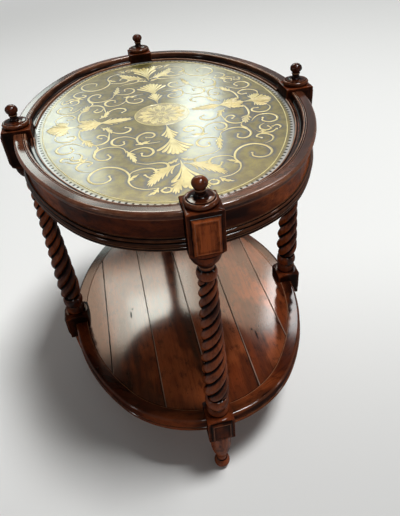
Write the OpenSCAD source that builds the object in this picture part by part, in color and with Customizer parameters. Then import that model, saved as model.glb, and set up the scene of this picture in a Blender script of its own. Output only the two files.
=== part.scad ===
// Oval accent table: moulded tray top on four rope-twist posts, with a planked shelf.
// The floor is z = 0, x is the short side and y the long side.

/* [Plan] */
// Half of the short side, centre to the rim's outer face
half_short = 259; // [235:1:300]
// Half of the long side, centre to the rim's outer face
half_long = 346; // [315:1:400]

/* [Levels] */
// Floor to the top of the rim
rim_top = 635; // [580:1:720]
// Floor to the top of the shelf
shelf_top = 172; // [150:1:230]

/* [Rim] */
// Width of the rim moulding, outer face to inner edge
rim_w = 33.5; // [31:0.5:36]
// Height of the rim moulding
rim_h = 15; // [13:0.5:20]
// Radius of the rounded nose on the rim's outer edge
nose_r = 4; // [3:0.25:5]

/* [Apron] */
// Height of the apron, under the rim
apron_h = 48.5; // [44:0.5:70]
// Thickness of the apron
apron_t = 16; // [14:0.5:22]
// How far the apron's face lies behind the rim's nose
apron_setback = 7; // [5:0.5:9]
// Height of the reeded strip along the foot of the apron
strip_h = 19.5; // [18:0.5:22]
// Depth of the rebate that the reeded strip is let into
strip_rebate = 2; // [1:0.5:4]

/* [Deck and panel] */
// Thickness of the deck board
deck_t = 18; // [12:0.5:22]
// Width of the apron's ledge that carries the deck board
deck_ledge = 10; // [6:0.5:10]
// Thickness of the brass panel
panel_t = 2; // [1:0.25:3]
// How far the rim laps over the brass panel
panel_lap = 6; // [4:0.5:8]
// How far the panel's field stands above the edge that the rim laps over
panel_step = 0.6; // [0.4:0.1:0.8]
// Length of a glue block along the apron
glue_block_l = 45; // [20:1:60]
// Width and height of a glue block
glue_block_w = 16; // [10:0.5:22]

/* [Post blocks] */
// Width of the square post blocks
block_w = 50; // [44:0.5:54]
// How far the post centres lie inside the rim's outer face
post_inset = 6.5; // [5:0.5:8]
// How far the upper blocks stand above the rim
block_stand = 5.5; // [2:0.5:12]
// Height of the square part of an upper block
upper_block_h = 70.5; // [64:0.5:90]
// Height of the turned bowl under an upper block
bowl_h = 30; // [24:0.5:44]
// Height of the square part of a lower block
lower_block_h = 63.5; // [52:0.5:74]
// How far the square part of a lower block stands above the shelf
lower_block_stand = 21.5; // [12:0.5:26]
// Height of the turned ring on a lower block
shoulder_h = 18.5; // [14:0.5:24]
// Radius of the turned ring on a lower block
ring_r = 20.4; // [18:0.1:24]
// Chamfer along the blocks' edges
block_chamfer = 1.2; // [0.5:0.1:2]
// Height over which the blocks' corners are turned away
pommel_h = 8; // [4:0.5:12]

/* [Tablets] */
// Thickness of the raised tablets
tablet_t = 4.5; // [2:0.5:7]
// Width of the bevel round a tablet
tablet_bevel = 4.5; // [2:0.5:8]
// Margin beside a tablet
tablet_side = 5; // [3:0.5:10]
// Margin above and below a tablet
tablet_end = 6; // [3:0.5:12]

/* [Spindles] */
// Number of rope strands on a spindle
strands = 4; // [2:1:6]
// Turns that each strand makes from end to end
rope_turns = 2.72; // [1:0.01:4]
// Outer radius of the rope at its foot
rope_foot_r = 24.2; // [19:0.1:27]
// Outer radius of the rope at its head
rope_head_r = 14.1; // [12:0.1:19]
// Depth of the grooves between strands, as a share of the radius
groove_share = 0.24; // [0.1:0.01:0.35]
// Neck radius at the head of a spindle, where it meets the bowl
neck_r = 11.5; // [10:0.25:13]
// Radius of the bead at the head of a spindle
head_bead_r = 15.5; // [13.5:0.25:18]
// Radius of the large bead at the foot of a spindle
foot_bead_r = 21.4; // [18:0.1:24]
// Radius of the seat at the foot of a spindle
seat_r = 16.5; // [15:0.25:17]

/* [Finials] */
// Radius of the finial's disc
disc_r = 23.2; // [19:0.1:24.5]
// Radius of the finial's ball
ball_r = 10.6; // [8.5:0.1:13]
// Height of the finial's ball, as a share of its width
ball_flatness = 0.8; // [0.7:0.01:1]
// Height of a finial above its block
finial_h = 37; // [35:0.5:46]

/* [Feet] */
// Radius at the top of a foot
foot_top_r = 22; // [18:0.5:24]
// Neck radius above the ball foot
foot_neck_r = 10; // [9:0.25:12]
// Radius of the ball foot
foot_ball_r = 15.7; // [12:0.1:18]
// Radius of the glide under a foot
glide_r = 6; // [3:0.25:7]
// How far the glide stands below its foot
glide_h = 3; // [1:0.25:4]

/* [Shelf] */
// Width of the shelf's border
border_w = 26.5; // [22:0.5:30]
// Thickness of the shelf's border
border_h = 28; // [24:0.5:36]
// Thickness of the shelf planks
plank_t = 18; // [14:0.5:20]
// Width of the lip that carries the planks
lip_w = 13.5; // [8:0.5:24]
// Chamfer along the V-joints between the planks
joint_chamfer = 1.4; // [0.5:0.1:3]
// Length of the planks' tongues
tongue_l = 5; // [3:0.5:7]
// Thickness of the planks' tongues
tongue_t = 5; // [3:0.5:6]
// Width of the battens under the planks
batten_w = 45; // [30:1:60]
// Distance from the centre to the battens' centre lines
batten_y = 118; // [80:1:150]

/* [Joinery] */
// Radius of the spindle and foot tenons
tenon_r = 7; // [5:0.25:8]
// Length of the spindle and foot tenons
tenon_l = 22; // [14:0.5:24]
// Radius of the finial's peg
peg_r = 4.4; // [3:0.1:6]
// Length of the finial's peg
peg_l = 20; // [12:0.5:24]
// Thickness of the apron's and border's tenons
rail_tenon_t = 8; // [5:0.5:9]
// Length of the apron's and border's tenons
rail_tenon_l = 12; // [8:0.5:14]
// Radius of a shelf screw's shank
screw_r = 2; // [1.5:0.25:2.5]
// Length of a shelf screw
screw_l = 20; // [16:0.5:22]

/* [Fits] */
// Gap round a tenon, a peg or a screw in its hole
fit_gap = 0.1; // [0.05:0.05:0.2]
// Gap between neighbouring boards
board_gap = 0.3; // [0.2:0.05:0.5]

/* [Hidden] */
$fn = 96;
QUARTERS = ["front_right", "back_right", "back_left", "front_left"];
POSTS = ["right", "back", "left", "front"];
plank_count = 6;

wood = "#4a1f12";
dark_wood = "#2e130c";
pale_wood = "#8a5a3a";
brass = "#a39a62";
steel = "#9a9a98";

// The oval is laid out on a 3-4-5 triangle: its two end arcs and two side arcs meet
// tangentially on the triangle's long side
unit = (half_long - half_short) / 2;
end_centre = 3 * unit;
side_centre = 4 * unit;
end_radius = half_long - end_centre;
side_radius = half_short + side_centre;
join_angle = atan2(3, 4);
reach = 2 * (half_long + block_w);

// Levels, from the floor up
rim_bottom = rim_top - rim_h;
deck_bottom = rim_bottom - deck_t;
apron_bottom = rim_bottom - apron_h;
strip_top = apron_bottom + strip_h;
upper_block_top = rim_top + block_stand;
upper_square_bottom = upper_block_top - upper_block_h;
spindle_top = upper_square_bottom - bowl_h;
lower_square_top = shelf_top + lower_block_stand;
lower_square_bottom = lower_square_top - lower_block_h;
spindle_bottom = lower_square_top + shoulder_h;
border_bottom = shelf_top - border_h;
plank_bottom = shelf_top - plank_t;

// The outer planks are half as wide as the others
plank_w = (half_short - border_w) / (plank_count / 2 - 0.5);
outer_plank_w = plank_w / 2;

// Insets from the rim's outer face
apron_inner = apron_setback + apron_t;
deck_inset = apron_inner - deck_ledge;
panel_inset = rim_w - panel_lap;
lip_inner = border_w + lip_w;
rail_tenon_inset = apron_inner - deck_ledge / 2 - rail_tenon_t;
half_block = block_w / 2;
strip_face = 2.5;

// Joinery and fittings
apron_tenon_up = 6;
apron_tenon_h = deck_bottom - apron_bottom - 8;
border_tenon_up = 8;
border_tenon_h = border_h - 2 * border_tenon_up;
foot_tenon_l = min(tenon_l, spindle_bottom - lower_square_bottom - tenon_l - 8);
screw_head_h = 3;
nail_r = 1.2;
nail_l = 13.5;

// The rope part of a spindle
rope_groove_r = 15.4;
base_turning_h = 28;
head_turning_h = 24;
rope_bottom = spindle_bottom + base_turning_h;
rope_top = spindle_top - head_turning_h;
rope_rings = 56;
rope_seat = 0.5;
lobe_steps = 6;
rope_taper = rope_head_r / rope_foot_r;
// How far each spindle is turned about its own axis, from the right post on
spindle_turn = [40, 0, 44, 0];

function flip(points) = [for (p = points) [-p[0], p[1]]];
function arc(centre, r, from, to, steps) =
    [for (i = [0:steps]) let (a = from + (to - from) * i / steps) centre + r * [cos(a), sin(a)]];
function join_y(inset) = end_centre + (end_radius - inset) * sin(join_angle);
function post_distance(p) = p % 2 == 0 ? half_short - post_inset : half_long - post_inset;

// Flat oval, its edge the given inset inside the rim's outer face
module oval(inset) {
    big = 2 * half_long;
    intersection() {
        translate([-side_centre, 0]) circle(side_radius - inset);
        translate([side_centre, 0]) circle(side_radius - inset);
        square([big, 2 * join_y(inset)], center = true);
    }
    for (side = [-1, 1]) {
        intersection() {
            translate([0, side * end_centre]) circle(end_radius - inset);
            translate([0, side * (join_y(inset) + big / 2)]) square(big, center = true);
        }
    }
}

module oval_board(inset, bottom, thickness) {
    translate([0, 0, bottom]) linear_extrude(thickness) oval(inset);
}

// Sweeps an outline of [inset, height] points along the quarter of the oval where x and y are
// positive, and cuts its ends square against the sides of the two post blocks
module quarter_sweep(outline) {
    intersection() {
        translate([-side_centre, 0, 0])
            rotate([0, 0, join_angle])
                mirror([0, 1, 0])
                    rotate_extrude(angle = join_angle)
                        translate([side_radius, 0]) polygon(flip(outline));
        translate([0, half_block, 0]) cube([reach, reach, reach]);
    }
    intersection() {
        translate([0, end_centre, 0])
            rotate([0, 0, join_angle])
                rotate_extrude(angle = 90 - join_angle)
                    translate([end_radius, 0]) polygon(flip(outline));
        translate([half_block, 0, 0]) cube([reach, reach, reach]);
    }
}

// The quarters are numbered from the front right, anticlockwise seen from above
module in_quarter(q) {
    mirror([q == 2 || q == 3 ? 1 : 0, 0, 0])
        mirror([0, q == 0 || q == 3 ? 1 : 0, 0])
            children();
}

// The posts are numbered from the right, anticlockwise seen from above
module at_post(p) {
    rotate([0, 0, 90 * p]) translate([post_distance(p), 0, 0]) children();
}

module post_notches(clearance) {
    for (p = [0:3]) {
        at_post(p)
            translate([-half_block - clearance, -half_block - clearance, 0])
                cube([reach, block_w + 2 * clearance, reach]);
    }
}

// Tenons at both ends of a quarter, which reach into the post blocks
module rail_tenons(inset, bottom, height) {
    root = 6;
    translate([half_short - inset - rail_tenon_t, half_block - rail_tenon_l, bottom])
        cube([rail_tenon_t, rail_tenon_l + root, height]);
    translate([half_block - rail_tenon_l, half_long - inset - rail_tenon_t, bottom])
        cube([rail_tenon_l + root, rail_tenon_t, height]);
}

// Mortises for those tenons, in a block whose outer face looks along x
module rail_mortises(inset, bottom, height) {
    for (side = [-1, 1]) {
        translate([
            post_inset - inset - rail_tenon_t - fit_gap,
            side * (half_block - rail_tenon_l / 2 + 0.5) - rail_tenon_l / 2 - 0.5,
            bottom - fit_gap
        ])
            cube([rail_tenon_t + 2 * fit_gap, rail_tenon_l + 1, height + 2 * fit_gap]);
    }
}

// Outline of the rim: nose, flat, two fine beads, a cove down to a fillet, and the rebate
// that laps over the brass panel
function rim_outline() = let (
    bead_r = 1.3,
    flat_end = 0.45 * rim_w,
    bead_1 = flat_end + bead_r,
    bead_2 = bead_1 + 2 * bead_r + 0.2,
    cove_top = bead_2 + bead_r + 0.8,
    fillet_r = 1.2,
    cove_w = 4.5,
    cove_drop = 9,
    band = rim_top - bead_r - cove_drop,
    band_end = rim_w - 2 * fillet_r
) concat(
    arc([apron_setback, rim_bottom + 3.8], 3.8, 270, 180, 4),
    [[3.2, rim_top - 2 * nose_r]],
    arc([nose_r, rim_top - nose_r], nose_r, 270, 90, 8),
    [[flat_end - 0.4, rim_top]],
    arc([bead_1, rim_top - bead_r], bead_r, 180, 0, 5),
    arc([bead_2, rim_top - bead_r], bead_r, 180, 0, 5),
    [for (i = [0:4]) let (a = 90 * i / 4) [
        cove_top + cove_w * (1 - cos(a)),
        rim_top - bead_r - cove_drop * sin(a)
    ]],
    arc([rim_w - fillet_r, band - 0.2], fillet_r, 180, 0, 5),
    [[rim_w, rim_bottom + panel_t - panel_step]],
    [[panel_inset - board_gap, rim_bottom + panel_t - panel_step]],
    [[panel_inset - board_gap, rim_bottom]]
);

// Outline of the apron: a slightly hollow face, the rebate for the strip along its foot, and
// the ledge for the deck board
function apron_outline() = let (
    hollow = 1,
    face_h = rim_bottom - strip_top,
    face_r = (pow(face_h / 2, 2) + pow(hollow, 2)) / (2 * hollow),
    half_angle = asin(face_h / 2 / face_r)
) concat(
    [[apron_setback + strip_rebate, apron_bottom], [apron_setback + strip_rebate, strip_top]],
    arc(
        [apron_setback + hollow - face_r, (rim_bottom + strip_top) / 2],
        face_r, -half_angle, half_angle, 6
    ),
    [[deck_inset, rim_bottom], [deck_inset, deck_bottom]],
    [[apron_inner, deck_bottom], [apron_inner, apron_bottom]]
);

// Outline of the reeded strip: two beads over a fillet
function strip_outline() = let (
    bead_r = (strip_h - 5) / 5.2,
    upper = strip_top - 1 - bead_r,
    lower = upper - 2 * bead_r - 0.6 - 0.2 * bead_r,
    undercut = 8
) concat(
    [[apron_setback + strip_rebate, apron_bottom], [strip_face, apron_bottom]],
    [[strip_face, lower - bead_r - 0.8], [strip_face + 1.2, lower - bead_r - 0.4]],
    arc([strip_face + 2.2, lower], 1.15 * bead_r, 270 - undercut, 90 + undercut, 7),
    arc([strip_face + 3.4, upper], bead_r, 270, 90, 6),
    [[strip_face + 3.4, strip_top], [apron_setback + strip_rebate, strip_top]]
);

// Outline of the shelf's border: rounded top edge, bead along the foot, and the lip under
// the planks
function border_outline() = let (
    edge_r = 5,
    bead_r = 4.2,
    bead_in = bead_r - 2
) concat(
    arc([bead_in, border_bottom + bead_r], bead_r, 270, 90, 7),
    [[1.2, border_bottom + 2 * bead_r + 0.7], [0, border_bottom + 2 * bead_r + 2]],
    arc([edge_r, shelf_top - edge_r], edge_r, 180, 90, 6),
    [[border_w - joint_chamfer, shelf_top], [border_w, shelf_top - joint_chamfer]],
    [[border_w, plank_bottom], [lip_inner, plank_bottom], [lip_inner, border_bottom]]
);

module rim(q) {
    color(wood) in_quarter(q) quarter_sweep(rim_outline());
}

module apron(q) {
    color(wood) in_quarter(q) {
        quarter_sweep(apron_outline());
        rail_tenons(rail_tenon_inset, apron_bottom + apron_tenon_up, apron_tenon_h);
    }
}

module base_strip(q) {
    color(dark_wood) in_quarter(q) quarter_sweep(strip_outline());
}

module shelf_border(q) {
    color(wood) in_quarter(q) {
        quarter_sweep(border_outline());
        rail_tenons(rail_tenon_inset, border_bottom + border_tenon_up, border_tenon_h);
    }
}

module deck_board() {
    color(pale_wood) difference() {
        oval_board(deck_inset + board_gap, deck_bottom, deck_t);
        post_notches(board_gap);
    }
}

// Brass panel: a field that fills the rim and reaches the posts between its ends, over a
// thinner edge that the rim holds down
module brass_panel() {
    bay_w = block_w - 2 * board_gap;
    color(brass) difference() {
        union() {
            oval_board(panel_inset, rim_bottom, panel_t - panel_step);
            oval_board(rim_w + board_gap, rim_bottom, panel_t);
            for (p = [0:3]) {
                at_post(p)
                    translate([-half_block - 2 * panel_lap, -bay_w / 2, rim_bottom])
                        cube([2 * panel_lap, bay_w, panel_t]);
            }
        }
        post_notches(board_gap);
    }
}

// Glue blocks beside each post, under the deck board and against the apron
module glue_blocks() {
    block = [
        [apron_inner, deck_bottom - glue_block_w],
        [apron_inner, deck_bottom],
        [apron_inner + glue_block_w, deck_bottom],
        [apron_inner + glue_block_w, deck_bottom - glue_block_w]
    ];
    color(pale_wood)
        for (q = [0:3]) {
            in_quarter(q) {
                intersection() {
                    quarter_sweep(block);
                    translate([end_radius / 2, half_block, 0])
                        cube([reach, glue_block_l, reach]);
                }
                intersection() {
                    quarter_sweep(block);
                    translate([half_block, end_radius / 2, 0])
                        cube([glue_block_l, reach, reach]);
                }
            }
        }
}

// Square prism with chamfered upright edges and a chamfered top or foot
module chamfered_block(h, top_chamfer, foot_chamfer) {
    c = block_chamfer;
    w = half_block;
    intersection() {
        linear_extrude(h)
            polygon([
                [w - c, -w], [w, c - w], [w, w - c], [w - c, w],
                [c - w, w], [-w, w - c], [-w, c - w], [c - w, -w]
            ]);
        chamfered_slab(h, top_chamfer, foot_chamfer);
        rotate([0, 0, 90]) chamfered_slab(h, top_chamfer, foot_chamfer);
    }
}

module chamfered_slab(h, top_chamfer, foot_chamfer) {
    w = half_block;
    rotate([90, 0, 0])
        translate([0, 0, -block_w])
            linear_extrude(2 * block_w)
                polygon([
                    [foot_chamfer - w, 0], [w - foot_chamfer, 0], [w, foot_chamfer],
                    [w, h - top_chamfer], [w - top_chamfer, h],
                    [top_chamfer - w, h], [-w, h - top_chamfer], [-w, foot_chamfer]
                ]);
}

// Upper block: square above, with its corners turned away into a bowl that ends at the neck
module upper_block(p) {
    bowl_r = half_block - 0.6;
    neck_top = spindle_top + 0.23 * bowl_h;
    steps = 10;
    color(wood) at_post(p) difference() {
        union() {
            intersection() {
                translate([0, 0, upper_square_bottom])
                    chamfered_block(upper_block_h, block_chamfer, 0);
                rotate_extrude()
                    polygon([
                        [0, upper_square_bottom], [bowl_r, upper_square_bottom],
                        [1.5 * half_block, upper_square_bottom + pommel_h],
                        [1.5 * half_block, upper_block_top + 1], [0, upper_block_top + 1]
                    ]);
            }
            rotate_extrude()
                polygon(concat(
                    [[0, upper_square_bottom], [0, spindle_top], [neck_r, spindle_top]],
                    [for (i = [0:steps]) let (a = 90 * i / steps) [
                        neck_r + (bowl_r - neck_r) * sin(a),
                        neck_top + (upper_square_bottom - neck_top) * (1 - cos(a))
                    ]]
                ));
        }
        translate([0, 0, spindle_top - 1])
            cylinder(r = tenon_r + fit_gap, h = tenon_l + 2);
        translate([0, 0, upper_block_top - peg_l - 1])
            cylinder(r = peg_r + fit_gap, h = peg_l + 2);
        rail_mortises(rail_tenon_inset, apron_bottom + apron_tenon_up, apron_tenon_h);
    }
}

// Lower block: square, its corners turned away above, with a ring that seats the spindle
module lower_block(p) {
    shoulder_r = half_block - 0.6;
    ring_root = seat_r - 0.5;
    color(wood) at_post(p) difference() {
        union() {
            intersection() {
                translate([0, 0, lower_square_bottom])
                    chamfered_block(lower_block_h, 0, block_chamfer);
                rotate_extrude()
                    polygon([
                        [0, lower_square_bottom - 1], [1.5 * half_block, lower_square_bottom - 1],
                        [1.5 * half_block, lower_square_top - pommel_h],
                        [shoulder_r, lower_square_top], [0, lower_square_top]
                    ]);
            }
            rotate_extrude()
                polygon(concat(
                    [[0, spindle_bottom], [0, lower_square_top], [ring_root, lower_square_top]],
                    bead(lower_square_top + 0.5, spindle_bottom - 0.5, ring_root, ring_r, 8),
                    [[ring_root, spindle_bottom]]
                ));
        }
        translate([0, 0, spindle_bottom - tenon_l - 1])
            cylinder(r = tenon_r + fit_gap, h = tenon_l + 2);
        translate([0, 0, lower_square_bottom - 1])
            cylinder(r = tenon_r + fit_gap, h = foot_tenon_l + 2);
        rail_mortises(rail_tenon_inset, border_bottom + border_tenon_up, border_tenon_h);
    }
}

// Raised tablet with mitred bevels, on a block's outer face
module tablet(bottom, block_h) {
    w = half_block - tablet_side;
    h = block_h - 2 * tablet_end;
    base = 1;
    translate([half_block, 0, bottom + tablet_end])
        intersection() {
            linear_extrude(h)
                polygon([
                    [0, -w], [base, -w], [tablet_t, tablet_bevel - w],
                    [tablet_t, w - tablet_bevel], [base, w], [0, w]
                ]);
            rotate([90, 0, 0])
                translate([0, 0, -block_w])
                    linear_extrude(2 * block_w)
                        polygon([
                            [0, 0], [base, 0], [tablet_t, tablet_bevel],
                            [tablet_t, h - tablet_bevel], [base, h], [0, h]
                        ]);
        }
}

module upper_tablet(p) {
    color(wood) at_post(p) tablet(upper_square_bottom, upper_block_h);
}

module lower_tablet(p) {
    color(wood) at_post(p) tablet(lower_square_bottom, lower_block_h);
}

// Finial: bullnosed disc on a low foot, hollowed cap, stem, collar and ball, on a peg
module finial(p) {
    edge_r = 3.6;
    foot_h = 1.2;
    disc_top = foot_h + 2 * edge_r;
    disc_flat_r = disc_r - edge_r;
    cap_r = disc_flat_r - 2;
    stem_r = 6.4;
    ball_z = finial_h - ball_r * ball_flatness;
    ball_foot = -58;
    collar_r = 1.2;
    collar_z = ball_z - ball_r * ball_flatness - 0.3;
    cap_top = min(disc_top + 0.16 * (finial_h - disc_top), collar_z - collar_r - 1.8);
    steps = 5;
    color(wood) at_post(p) translate([0, 0, upper_block_top])
        rotate_extrude()
            polygon(concat(
                [[0, -peg_l], [peg_r, -peg_l], [peg_r, 0]],
                [[disc_flat_r - 1, 0], [disc_flat_r - 1, foot_h]],
                arc([disc_flat_r, foot_h + edge_r], edge_r, -90, 90, 8),
                [[cap_r + 0.4, disc_top - 0.6], [cap_r, disc_top + 0.8]],
                [for (i = [1:steps]) let (a = 90 * i / steps) [
                    cap_r - 1 - (cap_r - 1 - stem_r - 1) * sin(a),
                    disc_top + 1 + (cap_top - disc_top - 1) * (1 - cos(a))
                ]],
                [[stem_r, cap_top + 1.4], [stem_r, collar_z - collar_r - 0.2]],
                arc([stem_r, collar_z], collar_r, -90, 90, 5),
                [for (q = arc([0, 0], ball_r, ball_foot, 90, 12))
                    [q[0], ball_z + ball_flatness * q[1]]]
            ));
}

// Rounded outline of a bead between two heights, from lower to upper
function bead(low, high, root_r, crest_r, steps) =
    [for (i = [0:steps]) let (a = 180 * i / steps) [
        root_r + (crest_r - root_r) * sin(a),
        (low + high) / 2 - (high - low) / 2 * cos(a)
    ]];

// Share of the rope's height at a ring: every ring turns by the same angle, and the pitch
// shrinks with the radius, so that the strands climb at one angle all the way
function rope_share(i) = (1 - pow(rope_taper, i / rope_rings)) / (1 - rope_taper);
function rope_z(i) = rope_bottom + (rope_top - rope_bottom) * rope_share(i);

// The rope's crest radius, rounded in at its foot and its head
function rope_crest(i) = let (
    z = rope_z(i),
    r = rope_foot_r * pow(rope_taper, i / rope_rings),
    foot = min(1, (z - rope_bottom) / 26),
    head = min(1, (rope_top - z) / 8),
    foot_r = rope_groove_r - 0.3 + (r - rope_groove_r + 0.3) * sqrt(1 - pow(1 - foot, 2)),
    head_r = r - 1.6 * pow(1 - head, 2)
) foot < 1 ? foot_r : head_r;

function rope_ring(i) = let (
    points = strands * lobe_steps,
    crest = rope_crest(i),
    turned = 360 * rope_turns * i / rope_rings
) [for (j = [0:points - 1]) let (
    a = 360 * j / points,
    r = crest * (1 - groove_share * (1 - abs(sin(strands * a / 2))))
) [r * cos(a + turned), r * sin(a + turned), rope_z(i)]];

module rope() {
    n = strands * lobe_steps;
    last = n * rope_rings;
    foot_centre = n * (rope_rings + 1);
    points = concat(
        [for (i = [0:rope_rings], p = rope_ring(i)) p],
        [[0, 0, rope_bottom], [0, 0, rope_top]]
    );
    faces = concat(
        [for (i = [0:rope_rings - 1], j = [0:n - 1]) let (k = (j + 1) % n)
            [n * i + j, n * (i + 1) + j, n * (i + 1) + k]],
        [for (i = [0:rope_rings - 1], j = [0:n - 1]) let (k = (j + 1) % n)
            [n * i + j, n * (i + 1) + k, n * i + k]],
        [for (j = [0:n - 1]) [foot_centre, j, (j + 1) % n]],
        [for (j = [0:n - 1]) [foot_centre + 1, last + (j + 1) % n, last + j]]
    );
    polyhedron(points, faces);
}

// Spindle: tapered rope between turned beads, with a round tenon at each end
module spindle(p) {
    color(wood) at_post(p) rotate([0, 0, spindle_turn[p]]) {
        rope();
        rotate_extrude()
            polygon(concat(
                [[0, spindle_bottom - tenon_l], [tenon_r, spindle_bottom - tenon_l]],
                [[tenon_r, spindle_bottom]],
                [[seat_r, spindle_bottom], [seat_r - 0.5, spindle_bottom + 2]],
                bead(spindle_bottom + 3, rope_bottom - 3, seat_r - 0.6, foot_bead_r, 10),
                [[rope_groove_r, rope_bottom - 2], [rope_groove_r, rope_bottom + rope_seat]],
                [[0, rope_bottom + rope_seat]]
            ));
        rotate_extrude()
            polygon(concat(
                [[0, rope_top - rope_seat], [rope_head_r - 1.4, rope_top - rope_seat]],
                [[rope_head_r - 1.4, rope_top + 1.5]],
                bead(rope_top + 2, spindle_top - 6.5, rope_head_r - 1.4, head_bead_r, 8),
                [[neck_r, spindle_top - 5], [neck_r, spindle_top], [tenon_r, spindle_top]],
                [[tenon_r, spindle_top + tenon_l], [0, spindle_top + tenon_l]]
            ));
    }
}

// Foot: turned vase over a small ball, with a tenon into the lower block
module foot(p) {
    vase_end = foot_ball_r * 2 + glide_h + 8;
    knee = lower_square_bottom * 0.62;
    knee_r = foot_top_r - 2.4;
    ball_z = foot_ball_r + 1;
    pilot_r = nail_r + fit_gap;
    pilot_top = glide_h + nail_l + 0.5;
    steps = 8;
    neck_angle = acos(foot_neck_r / foot_ball_r);
    flat_angle = -asin((ball_z - glide_h) / foot_ball_r);
    color(wood) at_post(p) rotate_extrude()
        polygon(concat(
            [[pilot_r, glide_h]],
            arc([0, ball_z], foot_ball_r, flat_angle, neck_angle, 14),
            [[foot_neck_r, vase_end - 3]],
            [for (i = [0:steps]) let (t = i / steps) [
                foot_neck_r + (knee_r - foot_neck_r) * pow(sin(90 * t), 0.9),
                vase_end + (knee - vase_end) * t
            ]],
            [[foot_top_r, lower_square_bottom - 8], [foot_top_r - 0.4, lower_square_bottom]],
            [[tenon_r, lower_square_bottom], [tenon_r, lower_square_bottom + foot_tenon_l]],
            [[0, lower_square_bottom + foot_tenon_l], [0, pilot_top], [pilot_r, pilot_top]]
        ));
}

// Nail-on glides under the feet
module foot_glides() {
    color(steel)
        for (p = [0:3]) {
            at_post(p)
                rotate_extrude()
                    polygon([
                        [0, 0], [glide_r - 1.5, 0], [glide_r, 1.2], [glide_r, glide_h],
                        [nail_r, glide_h], [nail_r, glide_h + nail_l - 1.5], [0, glide_h + nail_l]
                    ]);
        }
}

// Upright section of a plank between its two edges, with the V-joint's chamfers; the tongue
// is on the right and the groove on the left
module plank_section(left, right, has_groove, has_tongue) {
    c = joint_chamfer;
    mid = (plank_bottom + shelf_top) / 2 - 1;
    groove_l = tongue_l + board_gap;
    groove_half = tongue_t / 2 + fit_gap;
    polygon(concat(
        [[left, plank_bottom], [right, plank_bottom]],
        has_tongue ? [
            [right, mid - tongue_t / 2], [right + tongue_l, mid - tongue_t / 2],
            [right + tongue_l, mid + tongue_t / 2], [right, mid + tongue_t / 2]
        ] : [],
        [[right, shelf_top - c], [right - c, shelf_top]],
        [[left + c, shelf_top], [left, shelf_top - c]],
        has_groove ? [
            [left, mid + groove_half], [left + groove_l, mid + groove_half],
            [left + groove_l, mid - groove_half], [left, mid - groove_half]
        ] : []
    ));
}

// The planks are numbered from the left
module plank(i) {
    left = (i - 1 - plank_count / 2) * plank_w;
    color(wood) difference() {
        intersection() {
            rotate([90, 0, 0])
                translate([0, 0, -half_long])
                    linear_extrude(2 * half_long)
                        plank_section(
                            left + (i == 1 ? 0 : board_gap / 2),
                            left + plank_w - (i == plank_count ? 0 : board_gap / 2),
                            i > 1,
                            i < plank_count
                        );
            oval_board(border_w + board_gap, plank_bottom - 1, plank_t + 2);
        }
        post_notches(board_gap);
        for (side = [-1, 1]) screw_hole(screw_x(i), side * batten_y);
    }
}

function screw_x(i) = let (
    middle = (i - 0.5 - plank_count / 2) * plank_w,
    outer = (plank_count / 2 - 1) * plank_w + outer_plank_w * 0.18
) i == 1 ? -outer : i == plank_count ? outer : middle;

module screw_hole(x, y) {
    translate([x, y, border_bottom])
        cylinder(r = screw_r + fit_gap, h = screw_l + 1);
}

// Batten under the planks, its ends shaped to the border's lip
module batten(side) {
    color(pale_wood) difference() {
        intersection() {
            oval_board(lip_inner + board_gap, border_bottom, border_h - plank_t);
            translate([-half_short, side * batten_y - batten_w / 2, 0])
                cube([2 * half_short, batten_w, reach]);
        }
        for (i = [1:plank_count]) {
            screw_hole(screw_x(i), side * batten_y);
            translate([screw_x(i), side * batten_y, border_bottom - 1])
                cylinder(r = 2 * screw_r + fit_gap, h = screw_head_h + 1);
        }
    }
}

module shelf_screws() {
    color(steel)
        for (i = [1:plank_count], side = [-1, 1]) {
            translate([screw_x(i), side * batten_y, border_bottom])
                rotate_extrude()
                    polygon([
                        [0, 0], [2 * screw_r, 0], [2 * screw_r, screw_head_h],
                        [screw_r, screw_head_h], [screw_r, screw_l - 2], [0, screw_l]
                    ]);
        }
}

for (q = [0:3]) {
    rim(q);
    apron(q);
    base_strip(q);
    shelf_border(q);
}
for (p = [0:3]) {
    upper_block(p);
    upper_tablet(p);
    finial(p);
    spindle(p);
    lower_block(p);
    lower_tablet(p);
    foot(p);
}
for (i = [1:plank_count]) {
    plank(i);
}
deck_board();
brass_panel();
glue_blocks();
batten(-1);  // batten_front
batten(1);  // batten_back
shelf_screws();
foot_glides();
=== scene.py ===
# %% [markdown]
# # An oval accent table
# The real table is stained mahogany under a hand-rubbed dark glaze, with an engraved brass
# panel in its tray top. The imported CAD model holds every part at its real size, in metres.
# This lesson keeps the plain boards as they are and gives them a finish, and it models the
# mouldings, turnings and blocks again with finer outlines, each over its own CAD part.

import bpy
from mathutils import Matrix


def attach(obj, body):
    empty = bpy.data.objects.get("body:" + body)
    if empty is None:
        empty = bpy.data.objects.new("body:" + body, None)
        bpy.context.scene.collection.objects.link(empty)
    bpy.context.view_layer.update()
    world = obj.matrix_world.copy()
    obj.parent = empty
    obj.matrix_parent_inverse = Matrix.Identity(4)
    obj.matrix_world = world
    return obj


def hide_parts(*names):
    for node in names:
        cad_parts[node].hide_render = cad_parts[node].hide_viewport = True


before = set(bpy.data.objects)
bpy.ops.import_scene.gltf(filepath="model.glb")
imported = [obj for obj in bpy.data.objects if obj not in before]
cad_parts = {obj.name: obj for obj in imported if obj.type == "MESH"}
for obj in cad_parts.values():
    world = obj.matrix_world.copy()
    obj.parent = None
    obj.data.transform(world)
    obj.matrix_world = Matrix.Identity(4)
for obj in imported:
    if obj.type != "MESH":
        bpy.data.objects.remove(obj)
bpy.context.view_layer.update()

# %% Other modules
from math import acos, asin, atan2, cos, degrees, hypot, log, pi, radians, sin, sqrt

import bmesh
import bpy
from mathutils import Matrix, Vector, kdtree

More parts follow.
